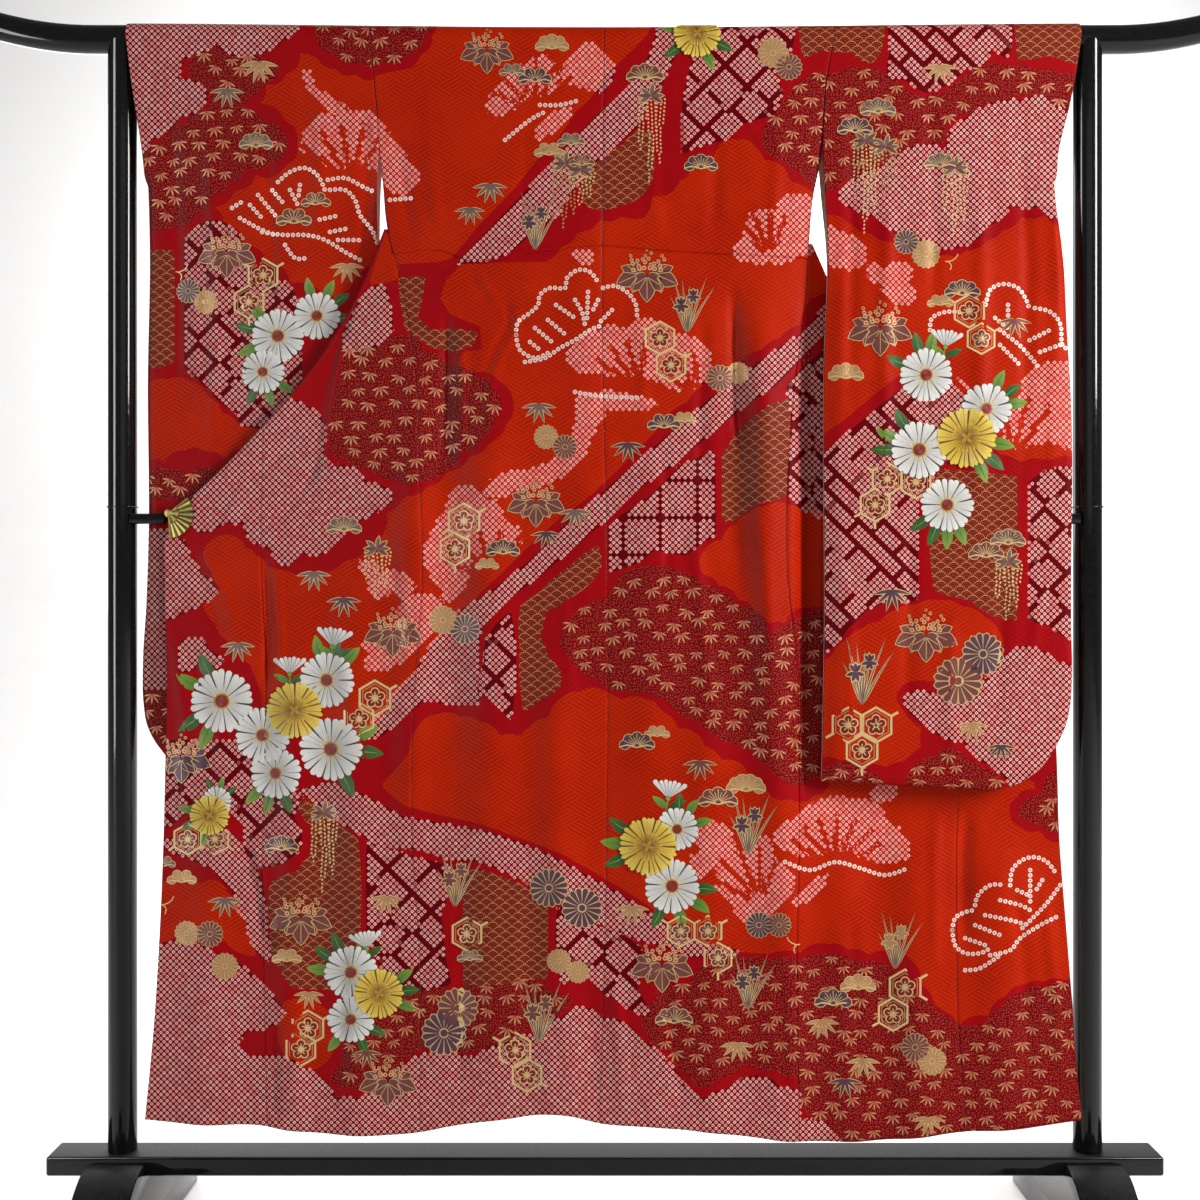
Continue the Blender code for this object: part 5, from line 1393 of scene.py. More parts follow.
# The sleeves: each one straight length folded over the rail, sewn together down the cuff edge
# below the opening for the hand and along the bottom, and open towards the body.
SLEEVE_INNER = {
    -1: ARMHOLE[-1] + [(1.509, -0.319), (1.400, -0.321), (0.650, -0.322)],
    1: ARMHOLE[1] + [(1.504, 0.305), (1.373, 0.308), (1.278, 0.304), (0.854, 0.303),
                     (0.650, 0.299)],
}
SLEEVE_OUTER = {
    -1: [(1.730, -0.674), (1.640, -0.663), (1.532, -0.647), (1.407, -0.645), (1.230, -0.648),
         (1.003, -0.647), (0.912, -0.650), (0.822, -0.655), (0.768, -0.654), (0.735, -0.648),
         (0.705, -0.631), (0.675, -0.600), (0.658, -0.565), (0.650, -0.530)],
    1: [(1.730, 0.670), (1.659, 0.660), (1.606, 0.650), (1.531, 0.632), (1.479, 0.630),
        (1.403, 0.634), (1.288, 0.639), (1.207, 0.644), (0.878, 0.645), (0.806, 0.646),
        (0.772, 0.644), (0.740, 0.637), (0.705, 0.619), (0.675, 0.594), (0.658, 0.563),
        (0.650, 0.530)],
}
SLEEVE_BOTTOM = {-1: (0.662, 0.650), 1: (0.664, 0.650)}
# Where each half leaves the rail's depth, where it has arrived, and its depth from there.
SLEEVE_NEAR = {-1: (1.560, 1.370, -0.0020), 1: (1.600, 1.340, -0.0500)}
SLEEVE_FAR = {-1: (1.560, 1.370, 0.0145), 1: (1.560, 1.355, -0.0340)}
CUFF_OPENING_LOW = 1.497
CUFF_X = 0.67
SEWN_WIDTH = 0.012


def sleeve(side, label):
    """One sleeve. Rows -1 to 1 lie on the rail, -2 to -1 are its near half from the bottom up
    and 1 to 2 its far half from there down."""
    def place(u, v):
        top = rail_z(side * blend(SHOULDER_X, CUFF_X, u))
        low = blend(*SLEEVE_BOTTOM[side], u)
        z = blend(top, low, np.clip(np.abs(v) - 1, 0, 1))
        inner = curve(SLEEVE_INNER[side], z) + side * SEAM_GAP
        outer = curve(SLEEVE_OUTER[side], z)
        x = blend(inner, outer, u)
        sewn_z = smooth((z - (rail_z(x) - 0.19)) / 0.04)
        near = blend(hang_depth(inner, z), -DRAPE_RADIUS, smooth(u / 0.6))
        start, end, depth = SLEEVE_NEAR[side]
        near = blend(near, depth, smooth((start - z) / (start - end)))
        start, end, depth = SLEEVE_FAR[side]
        far_top = blend(DRAPE_RADIUS - 0.004 * (1 - sewn_z), DRAPE_RADIUS, u)
        far = blend(far_top, depth, smooth((start - z) / (start - end)))
        middle, half = (near + far) / 2, (far - near) / 2
        from_edge = np.abs(outer - x) / SEWN_WIDTH
        from_edge = blend(from_edge, 1.0, smooth((z - CUFF_OPENING_LOW) / 0.02))
        opened = np.clip(np.minimum(from_edge, (z - low) / SEWN_WIDTH), 0, 1)
        half = blend((WALL + SEAM_GAP) / 2, half, np.sqrt(1 - (1 - opened) ** 2))
        # The open edge by the body lies nearly flat.
        flat = (1 - smooth(u / 0.07)) * smooth((1.45 - z) / 0.15)
        half = blend(half, np.minimum(half, 0.0018), flat)
        face = np.sign(v)
        fine = creased(label, x, z) * smooth((rail_z(x) - z) / 0.12)
        y = middle + face * (half + WALL / 2) - np.where(face < 0, fine, -0.7 * fine)
        return draped(np.abs(v) <= 1, x, y, z, -v, 1 - np.abs(v), middle - half - WALL / 2)

    columns = [0.0, 0.006] + steps(0.02, 0.955, CELL / 0.33)
    columns += [0.965, 0.974, 0.982, 0.989, 0.995, 1]
    near_half, far_half = (steps(1, 1.985, size) + [1.9885, 1.992, 1.995, 1.998, 2.0]
                           for size in (CELL / 1.05, 0.0085))
    rows = [-row for row in reversed(near_half)] + steps(-1, 1, 0.1)[1:-1] + far_half
    name = "sleeve_" + label
    panel(name + "_silk", name, columns, rows, place, side < 0, label)


for side, label in SIDES:
    sleeve(side, label)

# The motifs: what is stitched, gilded and painted on the silk. Each is a set of small patches
# laid out on the chart and then settled on the cloth, a little over its face.
SHADES = {
    "white": srgb(252, 250, 244), "shaded_white": srgb(206, 206, 204), "cream": srgb(238, 214, 150),
    "yellow": srgb(240, 198, 46), "lemon": srgb(252, 228, 88), "ochre": srgb(196, 142, 26),
    "green": srgb(62, 112, 36), "pine": srgb(22, 68, 34), "lime": srgb(134, 168, 48),
    "ember": srgb(160, 12, 6), "gold": srgb(182, 138, 92), "pale": srgb(224, 190, 132),
    "mauve": srgb(118, 62, 58), "plum": srgb(86, 54, 70), "smoke": srgb(118, 92, 86),
    "pink": srgb(248, 216, 204), "slate": srgb(70, 66, 66), "bronze": srgb(128, 82, 10),
    "brick": srgb(128, 22, 12), "rust": srgb(168, 60, 40), "blush": srgb(226, 172, 122),
}
FRONT_OF_BODY = ["front_left_silk", "okumi_left_silk", "back_left_silk", "back_right_silk",
                 "front_right_silk", "okumi_right_silk"]
PATCH_LOT = 1500


def chart_trees(names, near):
    """For each panel, a search tree of its faces on one side, laid out flat on the chart."""
    trees = []
    for name in names:
        coords, normals, faces, across, down = panels[name]
        sign = 1 if near else -1
        kept = faces[sign * normals[faces, 1].sum(axis=1) < 0.2]
        flat = np.stack([across, down, np.zeros_like(across)], axis=-1)
        trees.append((BVHTree.FromPolygons(flat.tolist(), kept.tolist()), kept, flat, coords,
                      normals))
    return trees


def on_cloth(trees, places):
    """Points over the cloth at places (x, y, lift) of the chart, with NaN where no panel is."""
    found = np.full(places.shape, np.nan)
    for tree, faces, flat, coords, normals in trees:
        low, high = flat[faces].min(axis=(0, 1)), flat[faces].max(axis=(0, 1))
        open_ = np.flatnonzero(np.isnan(found[:, 0]) & (places[:, :2] > low[:2]).all(axis=1)
                               & (places[:, :2] < high[:2]).all(axis=1))
        hits = [(k, tree.ray_cast((places[k, 0], places[k, 1], 1.0), (0.0, 0.0, -1.0))[2])
                for k in open_]
        hits = np.array([hit for hit in hits if hit[1] is not None], int).reshape(-1, 2)
        spot = places[hits[:, 0]]
        for half in ((0, 1, 2), (0, 2, 3)):
            corners = faces[hits[:, 1]][:, half]
            p, q, r = (flat[corners[:, k], :2] for k in range(3))
            area = np.cross(q - p, r - p)
            share_q = np.cross(spot[:, :2] - p, r - p) / area
            share_r = np.cross(q - p, spot[:, :2] - p) / area
            shares = np.stack([1 - share_q - share_r, share_q, share_r], axis=-1)
            fits = (shares > -0.01).all(axis=1)
            point = (coords[corners] * shares[:, :, None]).sum(axis=1)
            normal = (normals[corners] * shares[:, :, None]).sum(axis=1)
            normal /= np.linalg.norm(normal, axis=1)[:, None]
            found[hits[fits, 0]] = (point + normal * spot[:, 2:] * 0.001)[fits]
    return found


class Layer:
    """Patches of one kind of work on one side of some panels, gathered in one mesh."""

    def __init__(self, panel_names, near):
        self.trees, self.near = chart_trees(panel_names, near), near
        self.whole = bmesh.new()
        self.start()

    def start(self):
        """An empty mesh for the next patches, still flat on the chart."""
        self.bm = bmesh.new()
        self.tint = self.bm.verts.layers.float_color.new("tint")
        self.thread = self.bm.verts.layers.float_vector.new("thread")

    def patch(self, wide, long, place, tint, lift, threads=6.0):
        """A small grid: place(u, v) gives x, y and swell on the chart for u from -1 to 1 and v
        from 0 to 1. The tint is a shade, or a pair blended along v."""
        if len(self.bm.verts) > PATCH_LOT:
            self.lay_on()
        first, last = (tint, tint) if isinstance(tint, str) else tint
        first, last = Vector(SHADES[first]), Vector(SHADES[last])
        grid = bmesh.ops.create_grid(self.bm, x_segments=wide, y_segments=long, size=0.5)["verts"]
        for vert in grid:
            u, v = vert.co.x * 2, vert.co.y + 0.5
            x, y, swell = place(u, v)
            vert.co = (x, y, lift + swell)
            vert[self.tint] = first.lerp(last, v)
            vert[self.thread] = (u * threads, v, 0.0)

    def lay_on(self):
        """Puts the newest patches on the cloth, cut off at its edges."""
        verts = self.bm.verts[:]
        for vert, point in zip(verts, on_cloth(self.trees, np.array([v.co for v in verts]))):
            vert.co = point
        lost = [vert for vert in verts if math.isnan(vert.co.x)]
        bmesh.ops.delete(self.bm, geom=lost, context="VERTS")
        self.bm.normal_update()
        sign = 1 if self.near else -1
        turned = [face for face in self.bm.faces if sign * face.normal.y > 0]
        bmesh.ops.reverse_faces(self.bm, faces=turned)
        mesh = bpy.data.meshes.new("patches")
        self.bm.to_mesh(mesh)
        self.whole.from_mesh(mesh)
        bpy.data.meshes.remove(mesh)
        self.bm.free()
        self.start()

    def settle(self, name, material):
        """All the patches as one piece."""
        self.lay_on()
        return finished(name, self.whole, material, "silk", smooth_angle=50)

    def petal(self, x, y, angle, foot, reach, count, tint, lift, swell=0.0, fill=0.9,
              cells=(2, 5)):
        """One of count petals round (x, y), a wedge with a round tip."""
        turn = math.radians(angle)
        slope = math.tan(math.pi / count) * fill
        shoulder = reach / (1 + slope)
        tip = reach - shoulder

        def place(u, v):
            along = foot + (reach - foot) * (1 - (1 - v) ** 1.6)
            half = min(along, shoulder) * slope
            if along > shoulder:
                half = math.sqrt(max(tip * tip - (along - shoulder) ** 2, 0.0))
            return (x + math.sin(turn) * along + math.cos(turn) * half * u,
                    y + math.cos(turn) * along - math.sin(turn) * half * u,
                    swell * (1 - u * u) * min(1.0, 3 * (1 - v) + 0.2))

        self.patch(*cells, place, tint, lift)

    def leaf(self, x, y, angle, long, wide, tint, lift=0.25, swell=0.0, blunt=1.0, bend=0.0,
             cells=(2, 5)):
        """A leaf or petal from its foot at (x, y), angle in degrees from straight down."""
        turn = math.radians(angle)

        def place(u, v):
            along = v * long
            half = wide * math.sin(math.pi * min(v ** blunt, 1.0)) ** 0.8 * u / 2
            half += bend * math.sin(math.pi * v)
            return (x + math.sin(turn) * along + math.cos(turn) * half,
                    y + math.cos(turn) * along - math.sin(turn) * half,
                    swell * (1 - u * u) * math.sin(math.pi * (0.1 + 0.8 * v)))

        self.patch(*cells, place, tint, lift)

    def line(self, points, width, tint, lift=0.25, closed=False):
        """A strip of even width along a line of points, mitred at its corners."""
        points = [Vector(p) for p in points]
        count = len(points)
        offsets = []
        for k, point in enumerate(points):
            back = points[k - 1] if k or closed else point
            ahead = points[(k + 1) % count] if k < count - 1 or closed else point
            one = (point - back).normalized() if point != back else (ahead - point).normalized()
            two = (ahead - point).normalized() if ahead != point else one
            side = Vector((-(one + two).y, (one + two).x)).normalized()
            offsets.append(side / max(side.dot(Vector((-one.y, one.x))), 0.5))
        if closed:
            points, offsets = points + points[:1], offsets + offsets[:1]
        last = len(points) - 1

        def place(u, v):
            k = round(v * last)
            spot = points[k] + offsets[k] * (u * width / 2)
            return spot.x, spot.y, 0.0

        self.patch(1, last, place, tint, lift, 1.0)

    def disc(self, x, y, radius, tint, lift=0.25, swell=0.0, arc=(0, 360), inner=0.0, cells=10,
             squash=1.0):
        """A disc, ring or fan about (x, y); 0 degrees is down."""
        start, end = math.radians(arc[0]), math.radians(arc[1])

        def place(u, v):
            angle = start + (end - start) * (u + 1) / 2
            reach = inner + (radius - inner) * v
            return (x + math.sin(angle) * reach, y + math.cos(angle) * reach * squash,
                    swell * (1 - (reach / radius) ** 2))

        self.patch(cells, math.ceil((radius - inner) / 5.5), place, tint, lift, 20.0)


def chrysanthemum(floss, x, y, r, tilt, lift):
    """A stitched white flower: satin-stitched petals round a red and gold swirl."""
    count = 24 if r > 26 else 20
    floss.disc(x, y, r * 0.92, "slate", lift - 0.4, cells=count)
    # Each petal greys towards its foot, a painted shade, and is white at its tip.
    for k in range(count):
        floss.petal(x, y, tilt + 360 * k / count + 1.5 * math.sin(k * 2.3), r * 0.16,
                    r * (0.99 + 0.025 * math.sin(k * 1.7)), count, ("shaded_white", "white"), lift,
                    0.45, 0.89, (2, 6))
        if k % 2:
            floss.leaf(x, y, tilt + 360 * (k + 0.5) / count, r * 0.52, r * 0.045, "cream",
                       lift + 0.55, cells=(1, 3))
    floss.disc(x, y, r * 0.245, "ochre", lift + 0.6, inner=r * 0.19, cells=18)
    floss.disc(x, y, r * 0.20, "brick", lift + 0.7, 0.35, cells=16)
    floss.disc(x, y, r * 0.12, "ember", lift + 1.1, 0.0, cells=10, inner=r * 0.08)


def yellow_flower(floss, x, y, r, tilt, lift):
    """A stitched yellow flower of many narrow petals, darker towards its middle."""
    floss.disc(x, y, r * 0.92, "bronze", lift - 0.4, cells=24)
    for ring, count, reach, tint in ((0, 34, 1.0, ("ochre", "lemon")),
                                     (1, 20, 0.50, ("bronze", "yellow"))):
        for k in range(count):
            floss.petal(x, y, tilt + 360 * k / count + 2 * math.sin(k * 1.9 + ring), r * 0.08,
                        r * reach * (1 + 0.03 * math.sin(k * 2.9)), count, tint,
                        lift + 0.5 * ring, 0.45, 0.86 - 0.1 * ring)
    for k in range(4):
        floss.leaf(x, y, tilt + 45 + 90 * k, r * 0.24, r * 0.13, "ochre", lift + 1.0, 0.2)


def half_flower(floss, x, y, size, tilt):
    """A half-opened white flower, seen from the side over a pair of leaves."""
    foot = y + size * 0.35
    for side in (-1, 1):
        floss.leaf(x, foot + size * 0.5, 180 + tilt + side * 60, size * 1.05, size * 0.40,
                   ("green", "lime") if side > 0 else ("pine", "green"), 0.35, 0.25, 0.85,
                   cells=(3, 5))
    floss.leaf(x, foot - 1, tilt, size * 0.9, size * 0.10, ("lime", "green"), 0.45, 0.1)
    floss.disc(x, foot, size * 0.62, "slate", 0.35, arc=(140 + tilt, 220 + tilt), cells=8)
    # The petals grey towards their feet, a painted shade.
    for k in range(-3, 4):
        long = size * (0.96 + 0.05 * (k % 2)) / math.cos(math.radians(k * 12))
        floss.petal(x, foot, 180 + tilt + k * 15, size * 0.14, long, 24, ("shaded_white", "white"),
                    0.7, 0.40, 0.88)
    floss.disc(x, foot, size * 0.12, "lime", 1.2, 0.25, cells=10)


def green_leaves(floss, x, y, r, angles, shade):
    """Stitched leaves round a flower, each with a pale vein."""
    for k, angle in enumerate(angles):
        turn = math.radians(angle)
        foot = r * 0.72
        spot = x + math.sin(turn) * foot, y + math.cos(turn) * foot
        tint = (("pine", "green"), ("green", "lime"))[(k + shade) % 2]
        floss.leaf(*spot, angle + 8, r * 0.95, r * 0.42, tint, 0.15, 0.25, 0.85, r * 0.05,
                   cells=(4, 6))
        floss.leaf(*spot, angle + 8, r * 0.84, r * 0.03, ("lime", "green")[(k + shade) % 2], 0.6,
                   0.0, 0.85, r * 0.05, cells=(1, 4))


def outline_flower(gilt, x, y, r, shade):
    """A painted flower head whose petals leave gold lines between them."""
    petals = 16
    for k in range(petals):
        angle = 360 * (k + 0.5) / petals
        gilt.petal(x, y, angle, 0, r * 1.05, petals, "pale", 0.25, fill=1.04, cells=(1, 4))
        gilt.petal(x, y, angle, r * 0.22, r, petals, shade, 0.5, fill=0.80, cells=(1, 5))
    gilt.disc(x, y, r * 0.17, shade, 0.5, cells=10)


def hexagon(x, y, r):
    """The corners of a hexagon that stands on a corner."""
    return [(x + r * math.sin(math.pi * k / 3), y - r * math.cos(math.pi * k / 3))
            for k in range(6)]


def tortoise_cell(gilt, x, y, r, stubs):
    """One gold hexagon within another, round a flower of five petals."""
    r *= 1.1
    gilt.line(hexagon(x, y, r), r * 0.125, "pale", 0.30, closed=True)
    gilt.line(hexagon(x, y, r * 0.80), r * 0.05, "gold", 0.30, closed=True)
    for k in range(5):
        turn = math.radians(180 + 72 * k)
        px, py = x + math.sin(turn) * r * 0.35, y + math.cos(turn) * r * 0.35
        gilt.disc(px, py, r * 0.27, "pale", 0.3, cells=10)
        gilt.disc(px, py, r * 0.20, "brick" if r > 16.4 else "mauve", 0.5, cells=10)
        gilt.line([(x, y), (px, py)], r * 0.06, "pale", 0.7)
    gilt.disc(x, y, r * 0.10, "pale", 0.7, cells=8)
    for k in stubs:
        turn = math.pi * k / 3
        gilt.line([(x + math.sin(turn) * r * reach, y - math.cos(turn) * r * reach)
                   for reach in (0.98, 1.45)], r * 0.14, "pale", 0.30)


def pine_cloud(gilt, x, y, wide, shade, lobes):
    """A pine's needle cloud: round lobes in an arch, ribbed from the middle of its foot."""
    foot, base = y + wide * 0.16, 0.2 if shade in ("gold", "smoke") else 0.8
    lobes += 1
    for rim, tint, lift in ((0.0, "pale", base), (0.022, shade, base + 0.25)):
        for k in range(lobes):
            turn = math.radians(180 + (k - (lobes - 1) / 2) * 165 / (lobes - 1))
            gilt.disc(x + math.sin(turn) * wide * 0.34, foot + math.cos(turn) * wide * 0.25,
                      wide * (0.165 - rim), tint, lift, cells=12, squash=0.9)
        gilt.disc(x, foot - wide * 0.09, wide * (0.27 - rim), tint, lift, cells=12, squash=0.55)
    for k in range(2 * lobes + 1):
        turn = math.radians(180 + (k - lobes) * 82 / lobes)
        reach = wide * (0.40 if k % 2 else 0.31)
        gilt.line([(x + math.sin(turn) * reach * t, foot + math.cos(turn) * reach * t * 0.85)
                   for t in (0.2, 0.6, 1.0)], wide * 0.017, "pale", base + 0.5)
    for side in (-1, 1):
        gilt.line([(x + side * wide * t, foot + wide * (0.05 - 0.07 * math.sin(t * 6)))
                   for t in (0.0, 0.16, 0.32, 0.50)], wide * 0.035, "pale", base + 0.5)


def wisteria(gilt, x, top, low, tint):
    """Hanging strands of small flowers under a few leaves."""
    for strand, (shift, share) in enumerate(((0, 1.0), (-9, 0.62), (9, 0.78))):
        long = (low - top) * share
        rows = max(5, int(long / 3.8))
        for k in range(rows):
            t = k / rows
            wide = (3, 3, 2, 2, 1)[min(int(t * 5), 4)]
            for place in range(wide):
                px = x + shift + (place - (wide - 1) / 2) * 3.2 + 1.2 * math.sin(t * 5 + strand)
                gilt.leaf(px, top + t * long + 1.2 * (place % 2), 25 * (place - 1), 2.9, 2.3, tint,
                          0.28, blunt=0.8, cells=(1, 2))
    for k, angle in enumerate((-128, -92, -60, 60, 92, 128, 170)):
        gilt.leaf(x, top - 2, angle, 14, 5.6, "pale", 0.35, cells=(2, 4))
        gilt.leaf(x, top - 2, angle, 13, 3.9, ("smoke", "mauve")[k % 2], 0.6, cells=(2, 4))


def paulownia(gilt, x, y, size, shade):
    """Three broad lobed leaves with three upright clusters of flowers above them."""
    for angle in (-66, 66, 0):
        turn = math.radians(angle)
        px, py = x + math.sin(turn) * size * 0.30, y + math.cos(turn) * size * 0.18
        lift = 0.25 if angle else 0.85
        for grow, tint in ((0.0, "pale"), (0.034, shade)):
            for fork, far, wide in ((0, 0.92, 0.62), (46, 0.72, 0.44), (-46, 0.72, 0.44),
                                    (95, 0.46, 0.32), (-95, 0.46, 0.32)):
                gilt.leaf(px, py, angle + fork, size * (far - grow), size * (wide - grow * 1.3),
                          tint, lift, blunt=0.8, cells=(2, 6))
            lift += 0.25
        for fork, far in ((0, 0.80), (30, 0.55), (-30, 0.55), (58, 0.52), (-58, 0.52)):
            side = turn + math.radians(fork)
            gilt.line([(px + math.sin(side) * size * t, py + math.cos(side) * size * t)
                       for t in (0.04, far / 2, far)], size * 0.020, "pale", lift)
    for shift, count in ((0, 5), (-0.46, 4), (0.46, 4)):
        for k in range(count):
            py = y - size * (0.14 + 0.16 * k - 0.05 * (shift != 0))
            px = x + size * (shift * (0.75 + 0.14 * k) + 0.05 * math.sin(k * 2.4 + shift * 5))
            for hand in (-1, 1) if k < count - 1 else (0,):
                spot = px + hand * size * 0.105, py + hand * size * 0.05 * math.sin(k * 1.7 + shift)
                gilt.disc(*spot, size * (0.088 - 0.008 * k), "blush", 1.0, cells=8)
                gilt.disc(*spot, size * 0.038, "rust", 1.25, cells=6)


def spray(gilt, x, y, size, shade):
    """A spray of bamboo: narrow outlined leaves that hang from one joint."""
    for k in range(6):
        share = (k - 2.5) / 5
        for rim, tint, lift in ((0.0, "pale", 0.25), (0.1, shade, 0.5)):
            gilt.leaf(x, y, share * 155, size * (1.15 - 0.3 * abs(share) - rim / 2),
                      size * (0.24 - rim * 0.8), tint, lift, blunt=0.75, cells=(2, 5))


def grass(gilt, x, y, size, turn):
    """Small bare leaves of bamboo grass."""
    for k in range(5):
        share = (k - 2) / 4
        long = size * (1.05 - 0.25 * abs(share)) * (0.9 + 0.15 * (k % 2))
        gilt.leaf(x, y, turn + share * 150, long, size * 0.17, ("rust", "blush"), 0.26,
                  blunt=0.85, cells=(1, 4))


def iris(gilt, x, y, size, shade):
    """Irises over upright blades."""
    low = y + size * 0.95
    for k, lean in enumerate((-24, -13, -5, 3, 10, 19, 30)):
        high = size * (1.7 + 0.8 * ((k * 3) % 4) / 3)
        for wide, tint, lift in ((0.105, "pale", 0.25), (0.05, "smoke", 0.45)):
            gilt.leaf(x + lean * 0.04, low, 180 - lean, high, size * wide, tint, lift, blunt=0.6,
                      bend=lean * 0.05, cells=(1, 6))
    for px, py, scale in ((x - size * 0.24, y - size * 0.20, 0.85),
                          (x + size * 0.26, y - size * 0.58, 0.75)):
        for angle in (180, 146, 214, 72, -72, 20, -20):
            gilt.leaf(px, py, angle, size * 0.46 * scale, size * 0.26 * scale, "pale", 0.65,
                      cells=(2, 4))
            gilt.leaf(px, py, angle, size * 0.41 * scale, size * 0.17 * scale, shade, 0.9,
                      cells=(2, 4))


def tendril(gilt, x, y, size, hand):
    """A curling gold tendril."""
    line = [(x + hand * size * 0.5 * (1 - t) * math.cos(t * 7), y + size * (t - 0.5)
             + size * 0.3 * (1 - t) * math.sin(t * 7)) for t in np.linspace(0, 1, 14)]
    gilt.line(line, 0.9, "pale", 0.28)


ROW_PITCH, ROW_RADIUS, ROW_HOLE = 5.2, 2.3, 0.75


def ring_row(dye, points):
    """Tied rings at even steps along a smooth line."""
    smooth_line = []
    count = len(points)
    for k in range(count - 1):
        p0, p1, p2, p3 = (Vector(points[min(max(k + j, 0), count - 1)]) for j in (-1, 0, 1, 2))
        for t in np.linspace(0, 1, 8, endpoint=False):
            smooth_line.append(0.5 * ((2 * p1) + (p2 - p0) * t + (2 * p0 - 5 * p1 + 4 * p2 - p3)
                                      * t * t + (3 * p1 - p0 - 3 * p2 + p3) * t ** 3))
    smooth_line.append(Vector(points[-1]))
    passed, due = 0.0, 0.0
    for a, b in zip(smooth_line, smooth_line[1:]):
        step = (b - a).length
        while due <= passed + step and step > 0:
            spot = a.lerp(b, (due - passed) / step)
            dye.disc(spot.x, spot.y, ROW_RADIUS, "pink", 0.24, inner=ROW_HOLE, cells=8)
            due += ROW_PITCH
        passed += step


def silk_work(name, roughness, metallic, ribs):
    """Stitched or gilded work: each vertex has its tint, and threads run along each patch."""
    made, tree, shader = new_material(name, Metallic=metallic, Specular_IOR_Level=0.35)
    tint = Num.node(tree, "ShaderNodeAttribute", {"attribute_name": "tint"})
    u, _, _ = attribute(tree, "thread")
    spot = Num.node(tree, "ShaderNodeTexCoord", output=3)
    grain = noise(tree, spot, 700.0, 2.0)
    threads = off_middle(u + grain * 0.4)
    worn = noise(tree, spot, 60.0, 3.0)
    # The grooves between threads are darkened as a painted shade, and worn spots darken a little at random.
    feed(shader, Base_Color=mix((1 - threads) * ribs * 0.5 + worn * 0.06, tint,
                                (0.02, 0.015, 0.01, 1)),
         Roughness=roughness + 0.12 * worn, Normal=bump(threads * ribs + grain * 0.3, 0.0005, 0.6))
    return made


floss_silk = silk_work("stitched floss", roughness=0.36, metallic=0.0, ribs=0.45)
gilding = silk_work("gold leaf and dye", roughness=0.40, metallic=0.2, ribs=0.12)

# Where each motif is on the chart, by panel: x, y and size or radius, then its shade and count.
# The leaves go round one of the flowers, at the angles given.
STITCHED = {
    "left": {
        "white": [(278, 336, 27), (317, 316, 24), (263, 372, 22), (246, 588, 27),
                  (226, 640, 24)],
        "yellow": [(270, 626, 26)], "half": [(270, 556, 18)],
        "leaves": [((246, 588, 27), (200, 240, 280)), ((226, 640, 24), (330, 290, 20)),
                   ((270, 626, 26), (60, 90, 30)),
                   ((278, 336, 27), (215, 250, 290)), ((317, 316, 24), (120, 150, 80, 190)),
                   ((263, 372, 22), (10, 330, 50))],
    },
    "body": {
        "white": [(222, 701, 32), (327, 680, 28), (263, 735, 28), (331, 749, 32),
                  (276, 773, 26), (217, 801, 15), (351, 972, 27), (351, 1019, 24),
                  (677, 829, 22), (672, 886, 28)],
        "yellow": [(697, 34, 24), (295, 710, 28), (210, 815, 20), (379, 993, 25),
                   (648, 846, 29)],
        "half": [(333, 640, 20), (290, 668, 18), (367, 942, 18), (668, 792, 19)],
        "leaves": [((222, 701, 32), (200, 235, 300, 330)), ((327, 680, 28), (130, 160, 190)),
                   ((331, 749, 32), (80, 110, 20)), ((276, 773, 26), (340, 15, 310)),
                   ((217, 801, 15), (200, 160, 120)), ((210, 815, 20), (250, 290, 340)),
                   ((351, 972, 27), (230, 260, 200, 150)), ((379, 993, 25), (60, 90, 120)),
                   ((351, 1019, 24), (20, 320, 60)), ((677, 829, 22), (140, 170, 100)),
                   ((648, 846, 29), (230, 260, 290)), ((672, 886, 28), (10, 330, 50, 80)),
                   ((697, 34, 24), (300, 250, 60, 20))],
    },
    "right": {
        "white": [(926, 375, 27), (986, 409, 26), (919, 450, 29), (947, 505, 27)],
        "yellow": [(966, 438, 30)], "half": [(945, 341, 18)],
        "leaves": [((926, 375, 27), (190, 165, 240)), ((986, 409, 26), (150, 120, 95)),
                   ((919, 450, 29), (205, 240, 265)), ((966, 438, 30), (20, 45, 75)),
                   ((947, 505, 27), (330, 355, 300, 20))],
    },
}
